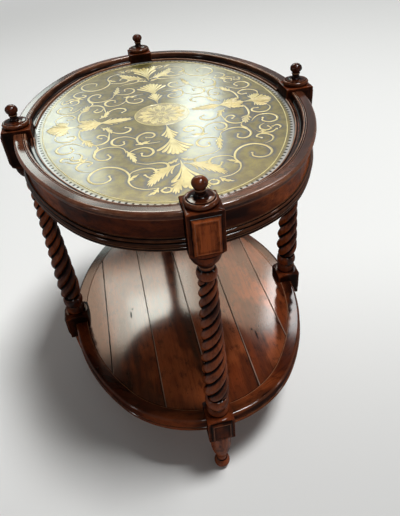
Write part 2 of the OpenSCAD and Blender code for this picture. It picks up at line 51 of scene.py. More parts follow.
# %% [markdown]
# ## The table's main measures
# A maker works in millimetres from a few levels and one oval. The oval is four arcs laid out
# on a 3-4-5 triangle: the two side arcs and the two end arcs meet without a kink. Every
# outline below is a list of points in millimetres, and one scale at the end makes it metres.

# %% Measures of the oval and the levels, in millimetres
MM = 0.001
HALF_SHORT, HALF_LONG = 259, 346
UNIT = (HALF_LONG - HALF_SHORT) / 2
END_CENTRE, SIDE_CENTRE = 3 * UNIT, 4 * UNIT
END_RADIUS, SIDE_RADIUS = HALF_LONG - END_CENTRE, HALF_SHORT + SIDE_CENTRE
JOIN = atan2(3, 4)
RIM_TOP, RIM_BOTTOM, APRON_BOTTOM, STRIP_TOP = 635, 620, 571.5, 591
SHELF_TOP, BORDER_BOTTOM, PLANK_BOTTOM = 172, 144, 154
BLOCK_TOP, BLOCK_FOOT, SPINDLE_TOP = 640.5, 570, 540
LOWER_TOP, LOWER_FOOT, SPINDLE_FOOT = 193.5, 130, 212
HALF_BLOCK, POST_INSET = 25, 6.5
RIM_W, PANEL_INSET, PANEL_TOP, FLANGE_TOP = 33.5, 27.5, 622, 621.4
POSTS = ["right", "back", "left", "front"]
QUARTERS = {"front_right": (1, -1), "back_right": (1, 1), "back_left": (-1, 1),
            "front_left": (-1, -1)}
print("end arc", END_RADIUS, "mm, side arc", SIDE_RADIUS, "mm")

# %% [markdown]
# ## Finishes as Python expressions
# A finish is a small graph of shader nodes. Wiring each node by hand hides the idea, so one
# class wraps a socket: `0.5 * noise + wear` adds the Math nodes it needs, colours and vectors
# go through Mix and Vector Math, and one method makes any other node. Colours are written as
# a picture shows them, from 0 to 255, and `blend` turns them into the values that nodes use.

# %% A socket that can be used in sums
def linear(red, green, blue):
    """A colour as a picture shows it, turned into the linear values of a node."""
    return tuple(c / 12.92 if c <= 0.04045 else ((c + 0.055) / 1.055) ** 2.4
                 for c in (red / 255, green / 255, blue / 255))


class Value:
    def __init__(self, finish, socket):
        self.finish, self.socket = finish, socket

    def combine(self, operation, a, b):
        numbers = all(q.socket.type == "VALUE" for q in (a, b) if isinstance(q, Value))
        kind = "Math" if numbers else "VectorMath"
        return self.finish.node(kind, {"operation": operation}, {0: a, 1: b})

    def __add__(self, other):
        return self.combine("ADD", self, other)

    def __radd__(self, other):
        return self.combine("ADD", other, self)

    def __sub__(self, other):
        return self.combine("SUBTRACT", self, other)

    def __rsub__(self, other):
        return self.combine("SUBTRACT", other, self)

    def __mul__(self, other):
        return self.combine("MULTIPLY", self, other)

    def __rmul__(self, other):
        return self.combine("MULTIPLY", other, self)

    def measure(self, operation, *other):
        """One number from vectors: LENGTH of this one, DISTANCE or DOT_PRODUCT to another."""
        inputs = dict(enumerate((self, *other)))
        return self.finish.node("VectorMath", {"operation": operation}, inputs, "Value")

    def between(self, low, high, to_low=0.0, to_high=1.0):
        """Maps low..high smoothly to to_low..to_high, and holds it outside."""
        inputs = {0: self, 1: low, 2: high, 3: to_low, 4: to_high}
        return self.finish.node("MapRange", {"interpolation_type": "SMOOTHSTEP"}, inputs)

    def blend(self, a, b):
        """Mixes colours from a, where this value is 0, to b, where it is 1."""
        a, b = (q if isinstance(q, Value) else linear(*q) for q in (a, b))
        return self.finish.node("Mix", {"data_type": "RGBA"}, {0: self, 6: a, 7: b}, 2)


# %% A finish: the nodes of one material, or of the world
class Finish:
    def __init__(self, name, owners=bpy.data.materials, shader="Principled BSDF"):
        self.owner = owners.new(name)
        self.owner.use_nodes = True
        self.tree = self.owner.node_tree
        self.shader = self.tree.nodes[shader]

    def node(self, kind, settings=None, inputs=None, output=0):
        made = self.tree.nodes.new("ShaderNode" + kind)
        for key, value in (settings or {}).items():
            setattr(made, key, value)
        for key, value in (inputs or {}).items():
            self.feed(made.inputs[key], value)
        return Value(self, made.outputs[output])

    def feed(self, socket, value):
        if isinstance(value, Value):
            self.tree.links.new(value.socket, socket)
        elif socket.type == "RGBA":
            socket.default_value = (*value, 1)
        else:
            socket.default_value = value

    def surface(self, **inputs):
        """Feeds the shader and gives its material: base_color means the socket Base Color."""
        for key, value in inputs.items():
            socket = key.replace("_", " ").title().replace("Ior", "IOR")
            self.feed(self.shader.inputs[socket], value)
        return self.owner

    def attribute(self, name, output="Fac"):
        return self.node("Attribute", {"attribute_name": name}, output=output)

    def place(self):
        """The point on the piece, in metres."""
        return self.node("TexCoord", output="Object")

    def facing_up(self):
        """1 where the surface lies flat and faces up, 0 where it stands upright."""
        return self.node("TexCoord", output="Normal").measure("DOT_PRODUCT", (0, 0, 1))

    def noise(self, where, scale, detail, roughness, stretch=(1, 1, 1)):
        return self.node("TexNoise", {}, {"Vector": where * stretch, "Scale": scale,
                                          "Detail": detail, "Roughness": roughness})

    def bump(self, height, strength, distance):
        return self.node("Bump", {}, {"Height": height, "Strength": strength,
                                      "Distance": distance})


# %% [markdown]
# ## Stained mahogany
# Mahogany has a long soft figure, short dark pores along the grain, and here a red-brown
# stain that lies in blotches. A dark glaze was brushed on and wiped off, so it stays in the
# hollows and leaves the raised edges paler, and on top of that shade is painted into the
# hollows and a highlight onto the raised edges. Each piece carries two attributes for this:
# "grain" is a place in metres whose x runs along the grain, and the other is above 0 on
# raised edges, for rubbed wear and painted highlight, and below 0 in hollows, for glaze and
# painted shade. The polish is a clear coat over matt wood: it is strong where a face lies
# level, and weaker on upright faces and in the hollows, which a cloth misses.
# The planks keep their CAD mesh, so theirs is worked out from the place instead.

# %% Grain, joints and knocks of the shelf's planks
PLANK_W = 93
# Knocks in the shelf: the middle in metres, and one over the half lengths along x, y and z.
DENTS = [
    ((-0.132, -0.032, 0.172), (500, 85, 1)), ((-0.127, -0.014, 0.172), (450, 350, 1)),
    ((0.127, -0.169, 0.172), (480, 70, 1)), ((0.121, -0.15, 0.172), (450, 250, 1)),
]


def plank_grain(wood):
    """The place along the grain, another one on each plank, and 0 to 1 across the plank."""
    parts = wood.node("SeparateXYZ", {}, {0: wood.place()}).socket.node.outputs
    x, y, z = (Value(wood, socket) for socket in parts)
    across = x * (1000 / PLANK_W)
    board = wood.node("Math", {"operation": "FLOOR"}, {0: across})
    shifted = {0: y + board * 3.7, 1: x + board * 0.31, 2: z}
    return wood.node("CombineXYZ", {}, shifted), across - board


def plank_marks(wood, colour, across):
    """A painted reflection and a dark line at each joint, darker towards the border, dull dark
    knocks.
    """
    place = wood.place()
    # A painted reflection along one side of each joint; the dark line at the other side is the
    # joint.
    pale = across.between(0.004, 0.008, 0, 0.85) * across.between(0.02, 0.028, 1, 0)
    colour = pale.blend(colour, (186, 160, 142))
    colour = across.between(0.98, 0.988, 0, 0.8).blend(colour, (20, 10, 7))
    # The wood gets darker towards the border.
    outward = (place * (4.3, 3.1, 0)).measure("LENGTH")
    colour = outward.between(0.8, 1.0, 0, 0.55).blend(colour, (26, 11, 7))
    whole = 1
    for centre, size in DENTS:
        apart = (place * size).measure("DISTANCE", tuple(c * s for c, s in zip(centre, size)))
        colour = apart.between(0.7, 1.1, 0.9, 0).blend(colour, (12, 7, 6))
        whole = apart.between(0.7, 1.1, 0.1, 1) * whole
    return colour, whole


# %% The wood finish
def stained_wood(name, tones, planks=False, blotch=1.0, coat=(0.1, 0.9),
                 coat_roughness=0.09, coat_ior=1.5):
    """tones: dark, middle and light stain; coat: polish of upright and of level faces."""
    wood = Finish(name)
    dark, middle, light = tones
    if planks:
        along, across = plank_grain(wood)
    else:
        along, wear_and_painted_light = wood.attribute("grain", "Vector"), wood.attribute("wear_and_painted_light")
    figure = wood.noise(along, 1, 5, 0.6, (1.6, 26, 26))
    patches = wood.noise(along, 1, 3, 0.55, (5, 13, 13))
    streaks = wood.noise(along, 1, 2, 0.5, (9, 190, 190))
    pores = wood.noise(along, 1, 2, 0.6, (55, 900, 900)).between(0.56, 0.68)
    mottle = wood.noise(along, 1, 4, 0.65, (45, 80, 80))
    colour = figure.between(0.36, 0.64).blend(dark, middle)
    colour = (patches.between(0.46, 0.6) * blotch).blend(colour, light)
    colour = streaks.between(0.5, 0.72, 0, 0.35).blend(colour, dark)
    colour = (pores * 0.45).blend(colour, (22, 9, 6))
    colour = mottle.between(0.5, 0.7, 0, 0.6).blend(colour, (24, 10, 6))
    gloss = wood.facing_up().between(0.4, 0.85, *coat)
    if not planks:
        ragged = wear_and_painted_light + wood.noise(along, 1, 4, 0.6, (60, 90, 90)) * 0.5 - 0.25
        # Painted shade with the glaze in the hollows; rubbed wear with a painted highlight on
        # raised edges.
        colour = ragged.between(-0.55, 0.1, 1, 0).blend(colour, (14, 7, 5))
        colour = ragged.between(0.3, 1.0, 0, 0.5).blend(colour, (118, 66, 38))
        colour = ragged.between(0.7, 1.15, 0, 0.6).blend(colour, (172, 128, 98))
        gloss = gloss * ragged.between(-0.7, 0.0, 0.2, 1)
    specks = wood.noise(along, 1, 1, 0.5, (190, 260, 260)).between(0.8, 0.84)
    colour = specks.blend(colour, (12, 7, 5))
    if planks:
        colour, whole = plank_marks(wood, colour, across)
        gloss = gloss * whole
    return wood.surface(
        base_color=colour, roughness=0.5, specular_ior_level=0.0, coat_weight=gloss,
        coat_roughness=coat_roughness, coat_ior=coat_ior,
        normal=wood.bump(pores * -0.6 + figure * 0.5, 0.08, 0.0004))


MAHOGANY = stained_wood("mahogany", ((40, 14, 7), (88, 37, 16), (152, 74, 35)))
BORDER_WOOD = stained_wood("border_mahogany", ((32, 12, 6), (74, 30, 14), (112, 52, 24)),
                           coat=(0.05, 0.75))
RIM_WOOD = stained_wood("rim_mahogany", ((50, 25, 16), (88, 48, 32), (118, 70, 48)),
                        blotch=0.7, coat=(0.2, 1.0), coat_roughness=0.13, coat_ior=1.65)
TURNED_WOOD = stained_wood("turned_mahogany", ((32, 12, 7), (74, 31, 14), (122, 58, 28)),
                           coat=(0.25, 0.6), coat_roughness=0.06)
BLOCK_WOOD = stained_wood("block_mahogany", ((28, 11, 6), (62, 26, 13), (102, 46, 22)),
                          coat=(0.1, 0.25))
DARK_WOOD = stained_wood("dark_moulding", ((18, 10, 8), (36, 19, 12), (60, 30, 18)),
                         blotch=0.4)
SHELF_WOOD = stained_wood("shelf_plank", ((58, 23, 12), (122, 54, 25), (166, 84, 44)),
                          planks=True, coat=(1.0, 1.0), coat_roughness=0.11)
print("wood finishes:", MAHOGANY.name, RIM_WOOD.name, DARK_WOOD.name, SHELF_WOOD.name)

# %% [markdown]
# ## Outlines, wear and painted light
# Mouldings and turnings start as an outline. Long straight stretches get extra points, so
# that a colour stored on the points can change along them. Where the outline stands proud of
# the chord between its neighbours a cloth rubs it bright and a highlight is painted, and where
# it lies behind the chord the glaze stays and shade is painted: that distance is the wear and
# painted light.

# %% Outline helpers
WEAR_AND_PAINTED_LIGHT_GAIN = 2.5


def arc(centre, radius, start, end, steps):
    """Points of an arc, from one angle to the other in degrees."""
    angles = [radians(start + (end - start) * i / steps) for i in range(steps + 1)]
    return [(centre[0] + radius * cos(a), centre[1] + radius * sin(a)) for a in angles]


def bend(start, width, height, steps):
    """A quarter of an ellipse that sets off sideways and ends upright."""
    angles = [pi / 2 * i / steps for i in range(steps + 1)]
    return [(start[0] + width * sin(a), start[1] + height * (1 - cos(a))) for a in angles]


def evened(outline, gap, closed=False):
    """The same outline with extra points, at most gap apart."""
    ends = outline[1:] + (outline[:1] if closed else [])
    points = []
    for a, b in zip(outline, ends):
        count = max(1, int(hypot(b[0] - a[0], b[1] - a[1]) / gap + 0.5))
        points += [(a[0] + (b[0] - a[0]) * i / count, a[1] + (b[1] - a[1]) * i / count)
                   for i in range(count)]
    return points if closed else points + [outline[-1]]


def wear_and_painted_light_along(outline, reach, closed=False):
    """For each point, how far it stands out of the chord between the points reach away."""
    count = len(outline)
    ahead = outline[1:] + outline[:1]
    area = sum(a[0] * b[1] - b[0] * a[1] for a, b in zip(outline, ahead))
    side = (1 if area > 0 else -1) if closed else 1

    def walk(i, step):
        left, here = reach, outline[i]
        for _ in range(count):
            i += step
            if not closed and not 0 <= i < count:
                return here
            there = outline[i % count]
            length = hypot(there[0] - here[0], there[1] - here[1])
            if length >= left:
                share = left / length
                return (here[0] + (there[0] - here[0]) * share,
                        here[1] + (there[1] - here[1]) * share)
            left, here = left - length, there
        return here

    values = []
    for i, point in enumerate(outline):
        a, b = walk(i, -1), walk(i, 1)
        chord = (b[0] - a[0], b[1] - a[1])
        length = hypot(*chord) or 1
        off = (point[0] - (a[0] + b[0]) / 2, point[1] - (a[1] + b[1]) / 2)
        proud = (off[0] * chord[1] - off[1] * chord[0]) / length * side
        values.append(max(-1, min(1, WEAR_AND_PAINTED_LIGHT_GAIN * proud / reach)))
    return values


# %% Make a finished piece of a bmesh that is modelled in millimetres
CREASE, SAME_PLACE = radians(32), 0.002
made_triangles = {}


def attributes(bm):
    return bm.verts.layers.float_vector.new("grain"), bm.verts.layers.float.new("wear_and_painted_light")


def finish_piece(name, bm, material, stands_for=()):
    bmesh.ops.remove_doubles(bm, verts=bm.verts, dist=SAME_PLACE)
    bmesh.ops.scale(bm, vec=(MM, MM, MM), verts=bm.verts)
    bmesh.ops.recalc_face_normals(bm, faces=bm.faces)
    mesh = bpy.data.meshes.new(name)
    bm.to_mesh(mesh)
    bm.free()
    mesh.materials.append(material)
    mesh.polygons.foreach_set("use_smooth", [True] * len(mesh.polygons))
    mesh.set_sharp_from_angle(angle=CREASE)
    piece = bpy.data.objects.new(name, mesh)
    bpy.context.scene.collection.objects.link(piece)
    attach(piece, "root")
    if stands_for:
        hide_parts(*stands_for)
    made_triangles[name] = sum(len(p.vertices) - 2 for p in mesh.polygons)


# %% [markdown]
# ## Mouldings that follow the oval
# The rim, the apron, its reeded strip and the shelf's border are the same kind of piece: an
# outline carried along a quarter of the oval and cut off square at the posts. A full sweep
# along a curve would do it too, but two spins are exact: one from the join down the side
# arc, and one from the join round the end arc.

# %% Sweep an outline along a quarter of the oval
SEGMENT = 5


def arc_beside(x, y):
    """Centre and radius of the arc that a point belongs to, in the quarter of x, y > 0."""
    on_side = y <= 0.75 * (x + SIDE_CENTRE)
    return (-SIDE_CENTRE, 0, SIDE_RADIUS) if on_side else (0, END_CENTRE, END_RADIUS)


def distance_along(x, y):
    """Millimetres along the oval from the middle of the side to the point's place."""
    centre_x, centre_y, _ = arc_beside(x, y)
    angle = atan2(y - centre_y, x - centre_x)
    return SIDE_RADIUS * min(angle, JOIN) + END_RADIUS * max(0, angle - JOIN)


def everything(bm):
    return bm.verts[:] + bm.edges[:] + bm.faces[:]


def open_edges(bm):
    return [e for e in bm.edges if e.is_boundary]


def sweep(outline, reach, cut):
    """outline: how far inside the oval and how high; cut: how far the posts reach in."""
    bm = bmesh.new()
    grain, wear_and_painted_light = attributes(bm)
    corners = []
    for (inset, height), value in zip(outline, wear_and_painted_light_along(outline, reach, closed=True)):
        radius = SIDE_RADIUS - inset
        place = (radius * cos(JOIN) - SIDE_CENTRE, radius * sin(JOIN), height)
        corners.append(bm.verts.new(place))
        corners[-1][wear_and_painted_light] = value
    edges = [bm.edges.new(pair) for pair in zip(corners, corners[1:] + corners[:1])]
    for centre, radius, angle in (
        ((-SIDE_CENTRE, 0, 0), SIDE_RADIUS, -JOIN),
        ((0, END_CENTRE, 0), END_RADIUS, pi / 2 - JOIN),
    ):
        bmesh.ops.spin(bm, geom=corners + edges, cent=centre, axis=(0, 0, 1), dvec=(0, 0, 0),
                       angle=angle, steps=int(radius * abs(angle) / SEGMENT), use_merge=False)
    if cut:
        for place, direction in (((0, cut, 0), (0, -1, 0)), ((cut, 0, 0), (-1, 0, 0))):
            bmesh.ops.bisect_plane(bm, geom=everything(bm), dist=0.001, plane_co=place,
                                   plane_no=direction, clear_outer=True)
        bmesh.ops.holes_fill(bm, edges=open_edges(bm))
    for v in bm.verts:
        along = distance_along(v.co.x, v.co.y)
        v[grain] = (along * MM, (HALF_LONG - v.co.xy.length) * MM, v.co.z * MM)
    return bm


def in_quarters(name, outline, gap, material, node, reach=2.5):
    """Makes a moulding in each quarter, mirrored from the one at the back right."""
    for number, (quarter, (sx, sy)) in enumerate(QUARTERS.items()):
        bm = sweep(evened(outline, gap, closed=True), reach, HALF_BLOCK)
        grain = bm.verts.layers.float_vector["grain"]
        for v in bm.verts:
            v[grain] += Vector((1.7 * number, 0.23 * number, 0))
        bmesh.ops.transform(bm, matrix=Matrix.Diagonal((sx, sy, 1, 1)), verts=bm.verts)
        finish_piece(f"{name}_{quarter}", bm, material, [f"{node}_{quarter}"])
    print(name, "x 4, triangles each:", made_triangles[f"{name}_{quarter}"])


# %% [markdown]
# ## The raised rim
# Seen from outside in, the rim has a rounded nose, a flat band, two fine beads, a steep
# cove, a broad low band and a small fillet beside the brass.

# %% Rim mouldings
def rim_outline():
    flat_end, bead, fillet, cove_w, cove_drop = 0.45 * RIM_W, 1.3, 1.2, 4.5, 9
    first, second = flat_end + bead, flat_end + 3 * bead + 0.2
    bead_z, cove_end = RIM_TOP - bead, second + bead + 0.8 + cove_w
    points = arc((7, RIM_BOTTOM + 3.8), 3.8, 270, 180, 8) + [(3.2, RIM_TOP - 8)]
    points += arc((4, RIM_TOP - 4), 4, 270, 90, 18) + [(flat_end - 0.4, RIM_TOP)]
    points += arc((first, bead_z), bead, 180, 0, 9) + arc((second, bead_z), bead, 180, 0, 9)
    points += bend((cove_end, bead_z - cove_drop), -cove_w, cove_drop, 10)[::-1]
    points += arc((RIM_W - fillet, bead_z - cove_drop - 0.2), fillet, 180, 0, 8)
    rebate = PANEL_INSET - 0.3
    return points + [(RIM_W, FLANGE_TOP), (rebate, FLANGE_TOP), (rebate, RIM_BOTTOM)]


in_quarters("rim_moulding", rim_outline(), 1.2, RIM_WOOD, "rim")

# %% [markdown]
# ## The apron and its reeded strip
# The apron is the curved band under the rim. Its face is very slightly hollow. The strip
# along its foot has two beads over a fillet, stained darker than the rest.

# %% Aprons
REBATE = 9


def apron_outline():
    front, ledge, back, ledge_z, hollow = 7, 13, 23, 602, 1.0
    face, middle = RIM_BOTTOM - STRIP_TOP, (RIM_BOTTOM + STRIP_TOP) / 2
    radius = ((face / 2) ** 2 + hollow**2) / (2 * hollow)
    half = degrees(atan2(face / 2, radius - hollow))
    points = [(REBATE, APRON_BOTTOM), (REBATE, STRIP_TOP)]
    points += arc((front + hollow - radius, middle), radius, -half, half, 10)
    return points + [(ledge, RIM_BOTTOM), (ledge, ledge_z), (back, ledge_z), (back, APRON_BOTTOM)]


in_quarters("apron_band", apron_outline(), 2, MAHOGANY, "apron")

# %% Reeded strips
def strip_outline():
    # The two beads and the gaps beside them share 14.5 mm, which is 5.2 radii of a bead.
    bead, face = 14.5 / 5.2, 2.5
    upper = STRIP_TOP - 1 - bead
    lower = upper - 2 * bead - 0.6 - 0.2 * bead
    points = [(REBATE, APRON_BOTTOM), (face + 0.6, APRON_BOTTOM)]
    points += [(face, APRON_BOTTOM + 0.6), (face, lower - bead - 1.3)]
    points += [(face + 0.5, lower - bead - 0.8), (face + 1.2, lower - bead - 0.4)]
    points += arc((face + 2.2, lower), 1.15 * bead, 262, 98, 14)
    points += arc((face + 3.4, upper), bead, 270, 90, 14)
    return points + [(face + 3.4, STRIP_TOP), (REBATE, STRIP_TOP)]


in_quarters("reeded_strip", strip_outline(), 1, DARK_WOOD, "base_strip", 1.6)

# %% [markdown]
# ## The shelf's border
# The border frames the planks. It has a rounded top edge, a bead along its foot and a small
# chamfer that makes the V-joint beside the planks.

# %% Shelf borders
def border_outline():
    edge, bead, foot, inner, chamfer, lip = 5, 4.2, BORDER_BOTTOM, 26.5, 1.4, 40
    points = arc((bead - 2, foot + bead), bead, 270, 90, 16)
    points += [(1.2, foot + 2 * bead + 0.7), (0, foot + 2 * bead + 2)]
    points += arc((edge, SHELF_TOP - edge), edge, 180, 90, 12)
    points += [(inner - chamfer, SHELF_TOP), (inner, SHELF_TOP - chamfer)]
    return points + [(inner, PLANK_BOTTOM), (lip, PLANK_BOTTOM), (lip, foot)]


in_quarters("shelf_rail", border_outline(), 2, BORDER_WOOD, "shelf_border")

# %% [markdown]
# ## Turned pieces
# Spindles, finials and feet came off a lathe, and a spin is a lathe: it carries an outline of
# (radius, height) points round the axis. Each piece is made once on the axis and then moved
# out to its post, turned so that its outer side faces away from the table.

# %% Lathe and post helpers
def turn(outline, steps, reach=3):
    bm = bmesh.new()
    grain, wear_and_painted_light = attributes(bm)
    points = [bm.verts.new((radius, 0, height)) for radius, height in outline]
    for point, value in zip(points, wear_and_painted_light_along(outline, reach)):
        point[wear_and_painted_light] = value
    edges = [bm.edges.new(pair) for pair in zip(points, points[1:])]
    bmesh.ops.spin(bm, geom=points + edges, cent=(0, 0, 0), axis=(0, 0, 1), dvec=(0, 0, 0),
                   angle=2 * pi, steps=steps, use_merge=True)
    bmesh.ops.remove_doubles(bm, verts=bm.verts, dist=SAME_PLACE)
    return bm


def at_posts(name, make, material, node, turned=None):
    """Makes a piece for each post, with its grain up the post, as in one turning square."""
    for number, post in enumerate(POSTS):
        bm = make()
        grain, shift = bm.verts.layers.float_vector["grain"], 0.9 * number + 0.13 * len(name)
        for v in bm.verts:
            v[grain] = (v.co.z * MM + shift, v.co.x * MM + 0.1 * shift, v.co.y * MM)
        out = (HALF_LONG if number % 2 else HALF_SHORT) - POST_INSET
        about = Matrix.Rotation(radians((turned or {}).get(post, 0)), 4, "Z")
        place = Matrix.Rotation(number * pi / 2, 4, "Z") @ Matrix.Translation((out, 0, 0))
        bmesh.ops.transform(bm, matrix=place @ about, verts=bm.verts)
        finish_piece(f"{name}_{post}", bm, material, [f"{node}_{post}"])
    print(name, "x 4, triangles each:", made_triangles[f"{name}_{post}"])


def bead_outline(low, high, root, crest, steps):
    angles = [pi * i / steps for i in range(steps + 1)]
    return [(root + (crest - root) * sin(a), (low + high) / 2 - (high - low) / 2 * cos(a))
            for a in angles]


# %% [markdown]
# ## Rope-twist spindles
# Four strands wind up each tapered spindle. The blank is turned first, with its beads. Then
# every ring of the rope part is pulled in between the strands, and turned a little more than
# the ring below it, so the mesh itself follows the strands and their grooves stay sharp. The
# pitch shrinks with the radius, which keeps the strands at one angle all the way up.

# %% Rope-twist spindles
ROPE_FOOT, ROPE_TOP = SPINDLE_FOOT + 28, SPINDLE_TOP - 24
ROPE_FOOT_R, ROPE_HEAD_R, GROOVE_R = 24.2, 14.1, 15.4
ROPE_TURNS, STRANDS, GROOVE_SHARE = 2.72, 4, 0.24
TAPER = ROPE_HEAD_R / ROPE_FOOT_R
ROPE_RINGS, RUN_IN, RUN_OUT, RUN_OUT_DEPTH = 170, 26, 8, 1.6
SPINDLE_TURN = {"right": 40, "left": 44}


def rope_crest(part):
    """Radius and height of the crests, for a part of the turns from the foot up."""
    share = (1 - TAPER**part) / (1 - TAPER)
    height = ROPE_FOOT + (ROPE_TOP - ROPE_FOOT) * share
    radius = ROPE_FOOT_R * TAPER**part
    foot = min(1, (height - ROPE_FOOT) / RUN_IN)
    head = min(1, (ROPE_TOP - height) / RUN_OUT)
    if foot < 1:
        start = GROOVE_R - 0.3
        return start + (radius - start) * sqrt(1 - (1 - foot) ** 2), height
    return radius - RUN_OUT_DEPTH * (1 - head) ** 2, height


def spindle():
    foot, top, root, crest = SPINDLE_FOOT, SPINDLE_TOP, 15.9, 21.4
    head_root, head_crest, neck = 12.7, 15.5, 11.5
    outline = [(0, foot), (16.5, foot), (16, foot + 2)]
    outline += bead_outline(foot + 3, ROPE_FOOT - 3, root, crest, 24)
    outline += [(GROOVE_R, ROPE_FOOT - 2), (GROOVE_R, ROPE_FOOT - 0.4)]
    outline += [rope_crest(i / ROPE_RINGS) for i in range(ROPE_RINGS + 1)]
    outline += [(head_root, ROPE_TOP + 0.2), (head_root, ROPE_TOP + 1.5)]
    outline += bead_outline(ROPE_TOP + 2, top - 6.5, head_root, head_crest, 18)
    outline += [(neck, top - 5), (neck, top), (0, top)]
    bm = turn(outline, 96)
    wear_and_painted_light = bm.verts.layers.float["wear_and_painted_light"]
    for v in bm.verts:
        if v.co.z < ROPE_FOOT - 0.001:
            continue
        share = min(1, (v.co.z - ROPE_FOOT) / (ROPE_TOP - ROPE_FOOT))
        part = log(1 - share * (1 - TAPER)) / log(TAPER)
        angle, radius = atan2(v.co.y, v.co.x), v.co.xy.length
        if v.co.z <= ROPE_TOP + 0.001:
            lobe = abs(sin(STRANDS * angle / 2))
            radius *= 1 - GROOVE_SHARE * (1 - lobe)
            # Painted shade with the glaze in the grooves between strands, and a painted highlight
            # with wear on the crests.
            v[wear_and_painted_light] = 1.6 * lobe - 0.95
        angle += 2 * pi * ROPE_TURNS * part
        v.co.x, v.co.y = radius * cos(angle), radius * sin(angle)
    return bm


at_posts("rope_spindle", spindle, TURNED_WOOD, "spindle", turned=SPINDLE_TURN)

# %% [markdown]
# ## Finials
# Each finial is a bullnosed disc on a low foot, a hollowed cap, a stem with a thin collar and
# a slightly flattened ball. All of it is one outline, made of arcs that follow each other.

# %% Finials
def finial():
    disc, edge, low_foot, stem, collar = 23.2, 3.6, 1.2, 6.4, 1.2
    ball, flatness, height = 10.6, 0.8, 37
    flat, disc_top = disc - edge, low_foot + 2 * edge
    cap, cap_top = flat - 2, disc_top + 0.16 * (height - disc_top)
    ball_z = height - ball * flatness
    collar_z = ball_z - ball * flatness - 0.3
    outline = [(0, 0), (flat - 1, 0), (flat - 1, low_foot)]
    outline += arc((flat, low_foot + edge), edge, -90, 90, 16)
    outline += [(cap + 0.4, disc_top - 0.6), (cap, disc_top + 0.8)]
    outline += bend((cap - 1, disc_top + 1), stem + 2 - cap, cap_top - disc_top - 1, 10)[1:]
    outline += [(stem, cap_top + 1.4), (stem, collar_z - collar - 0.2)]
    outline += arc((stem, collar_z), collar, -90, 90, 10)
    outline += [(r, ball_z + flatness * z) for r, z in arc((0, 0), ball, -58, 90, 26)]
    bm = turn(evened(outline, 1.2), 64, reach=2)
    bmesh.ops.translate(bm, vec=(0, 0, BLOCK_TOP), verts=bm.verts)
    return bm


at_posts("finial_turning", finial, TURNED_WOOD, "finial")

# %% [markdown]
# ## Feet
# A foot is a turned vase over a small ball. Two fine rings are scribed round the ball: there
# the outline dips, so the spin makes the grooves along with the rest.

# %% Feet
def foot():
    ball, neck, top, glide = 15.7, 10, 22, 3
    ball_z = ball + 1
    vase_end = 2 * ball + glide + 8
    knee, knee_r = LOWER_FOOT * 0.62, top - 2.4
    scribes, scribe_depth, scribe_w = (6.4, 9.6), 0.45, 0.8
    neck_angle, flat_angle = degrees(acos(neck / ball)), -degrees(asin((ball_z - glide) / ball))
    outline = [(0, glide)]
    for r, z in arc((0, ball_z), ball, flat_angle, neck_angle, 60):
        apart = min(abs(z - scribe) for scribe in scribes)
        outline.append((r - scribe_depth * max(0, 1 - apart / scribe_w), z))
    outline += [(neck, vase_end - 3)]
    outline += [(neck + (knee_r - neck) * sin(pi / 2 * i / 20) ** 0.9,
                 vase_end + (knee - vase_end) * i / 20) for i in range(21)]
    outline += [(top, LOWER_FOOT - 8), (top - 0.4, LOWER_FOOT - 0.2), (0, LOWER_FOOT - 0.2)]
    return turn(evened(outline, 2.5), 72)


at_posts("turned_foot", foot, TURNED_WOOD, "foot")

# %% [markdown]
# ## Post blocks
# A square block joins each post to the rails. The real one is a squared blank with one end
# turned: its corners fall away in a curve, and the flat sides end in shallow arcs. Here it
# goes the other way: the blank is spun round, and then each upright line of points is pulled
# in to a square with softened corners. Where the curve meets a flat side there is always a
# ring of points, so that arc stays crisp.

# %% Press a turned blank into a square
FLAT_COLUMNS, CORNER_COLUMNS, CORNER_ROUND, EDGE_ROUND = 10, 8, 1.3, 1.2
PER_SIDE = FLAT_COLUMNS + CORNER_COLUMNS
SKIRT_R, TOP_R, PROUD_R, CUT_SLOPE = 24.4, 37, 37.5, 1.25


def square_edge(column):
    """The point on the square's outline for a column, as an angle and a distance."""
    side, place = divmod(column + PER_SIDE / 2, PER_SIDE)
    u = 2 * place / PER_SIDE - 1
    flat = FLAT_COLUMNS / PER_SIDE
    straight = HALF_BLOCK - CORNER_ROUND
    if abs(u) <= flat:
        x, y = HALF_BLOCK, straight * abs(u) / flat
    else:
        a = pi / 4 * (abs(u) - flat) / (1 - flat)
        x, y = straight + CORNER_ROUND * cos(a), straight + CORNER_ROUND * sin(a)
    return atan2(y if u > 0 else -y, x) + side * pi / 2, hypot(x, y)


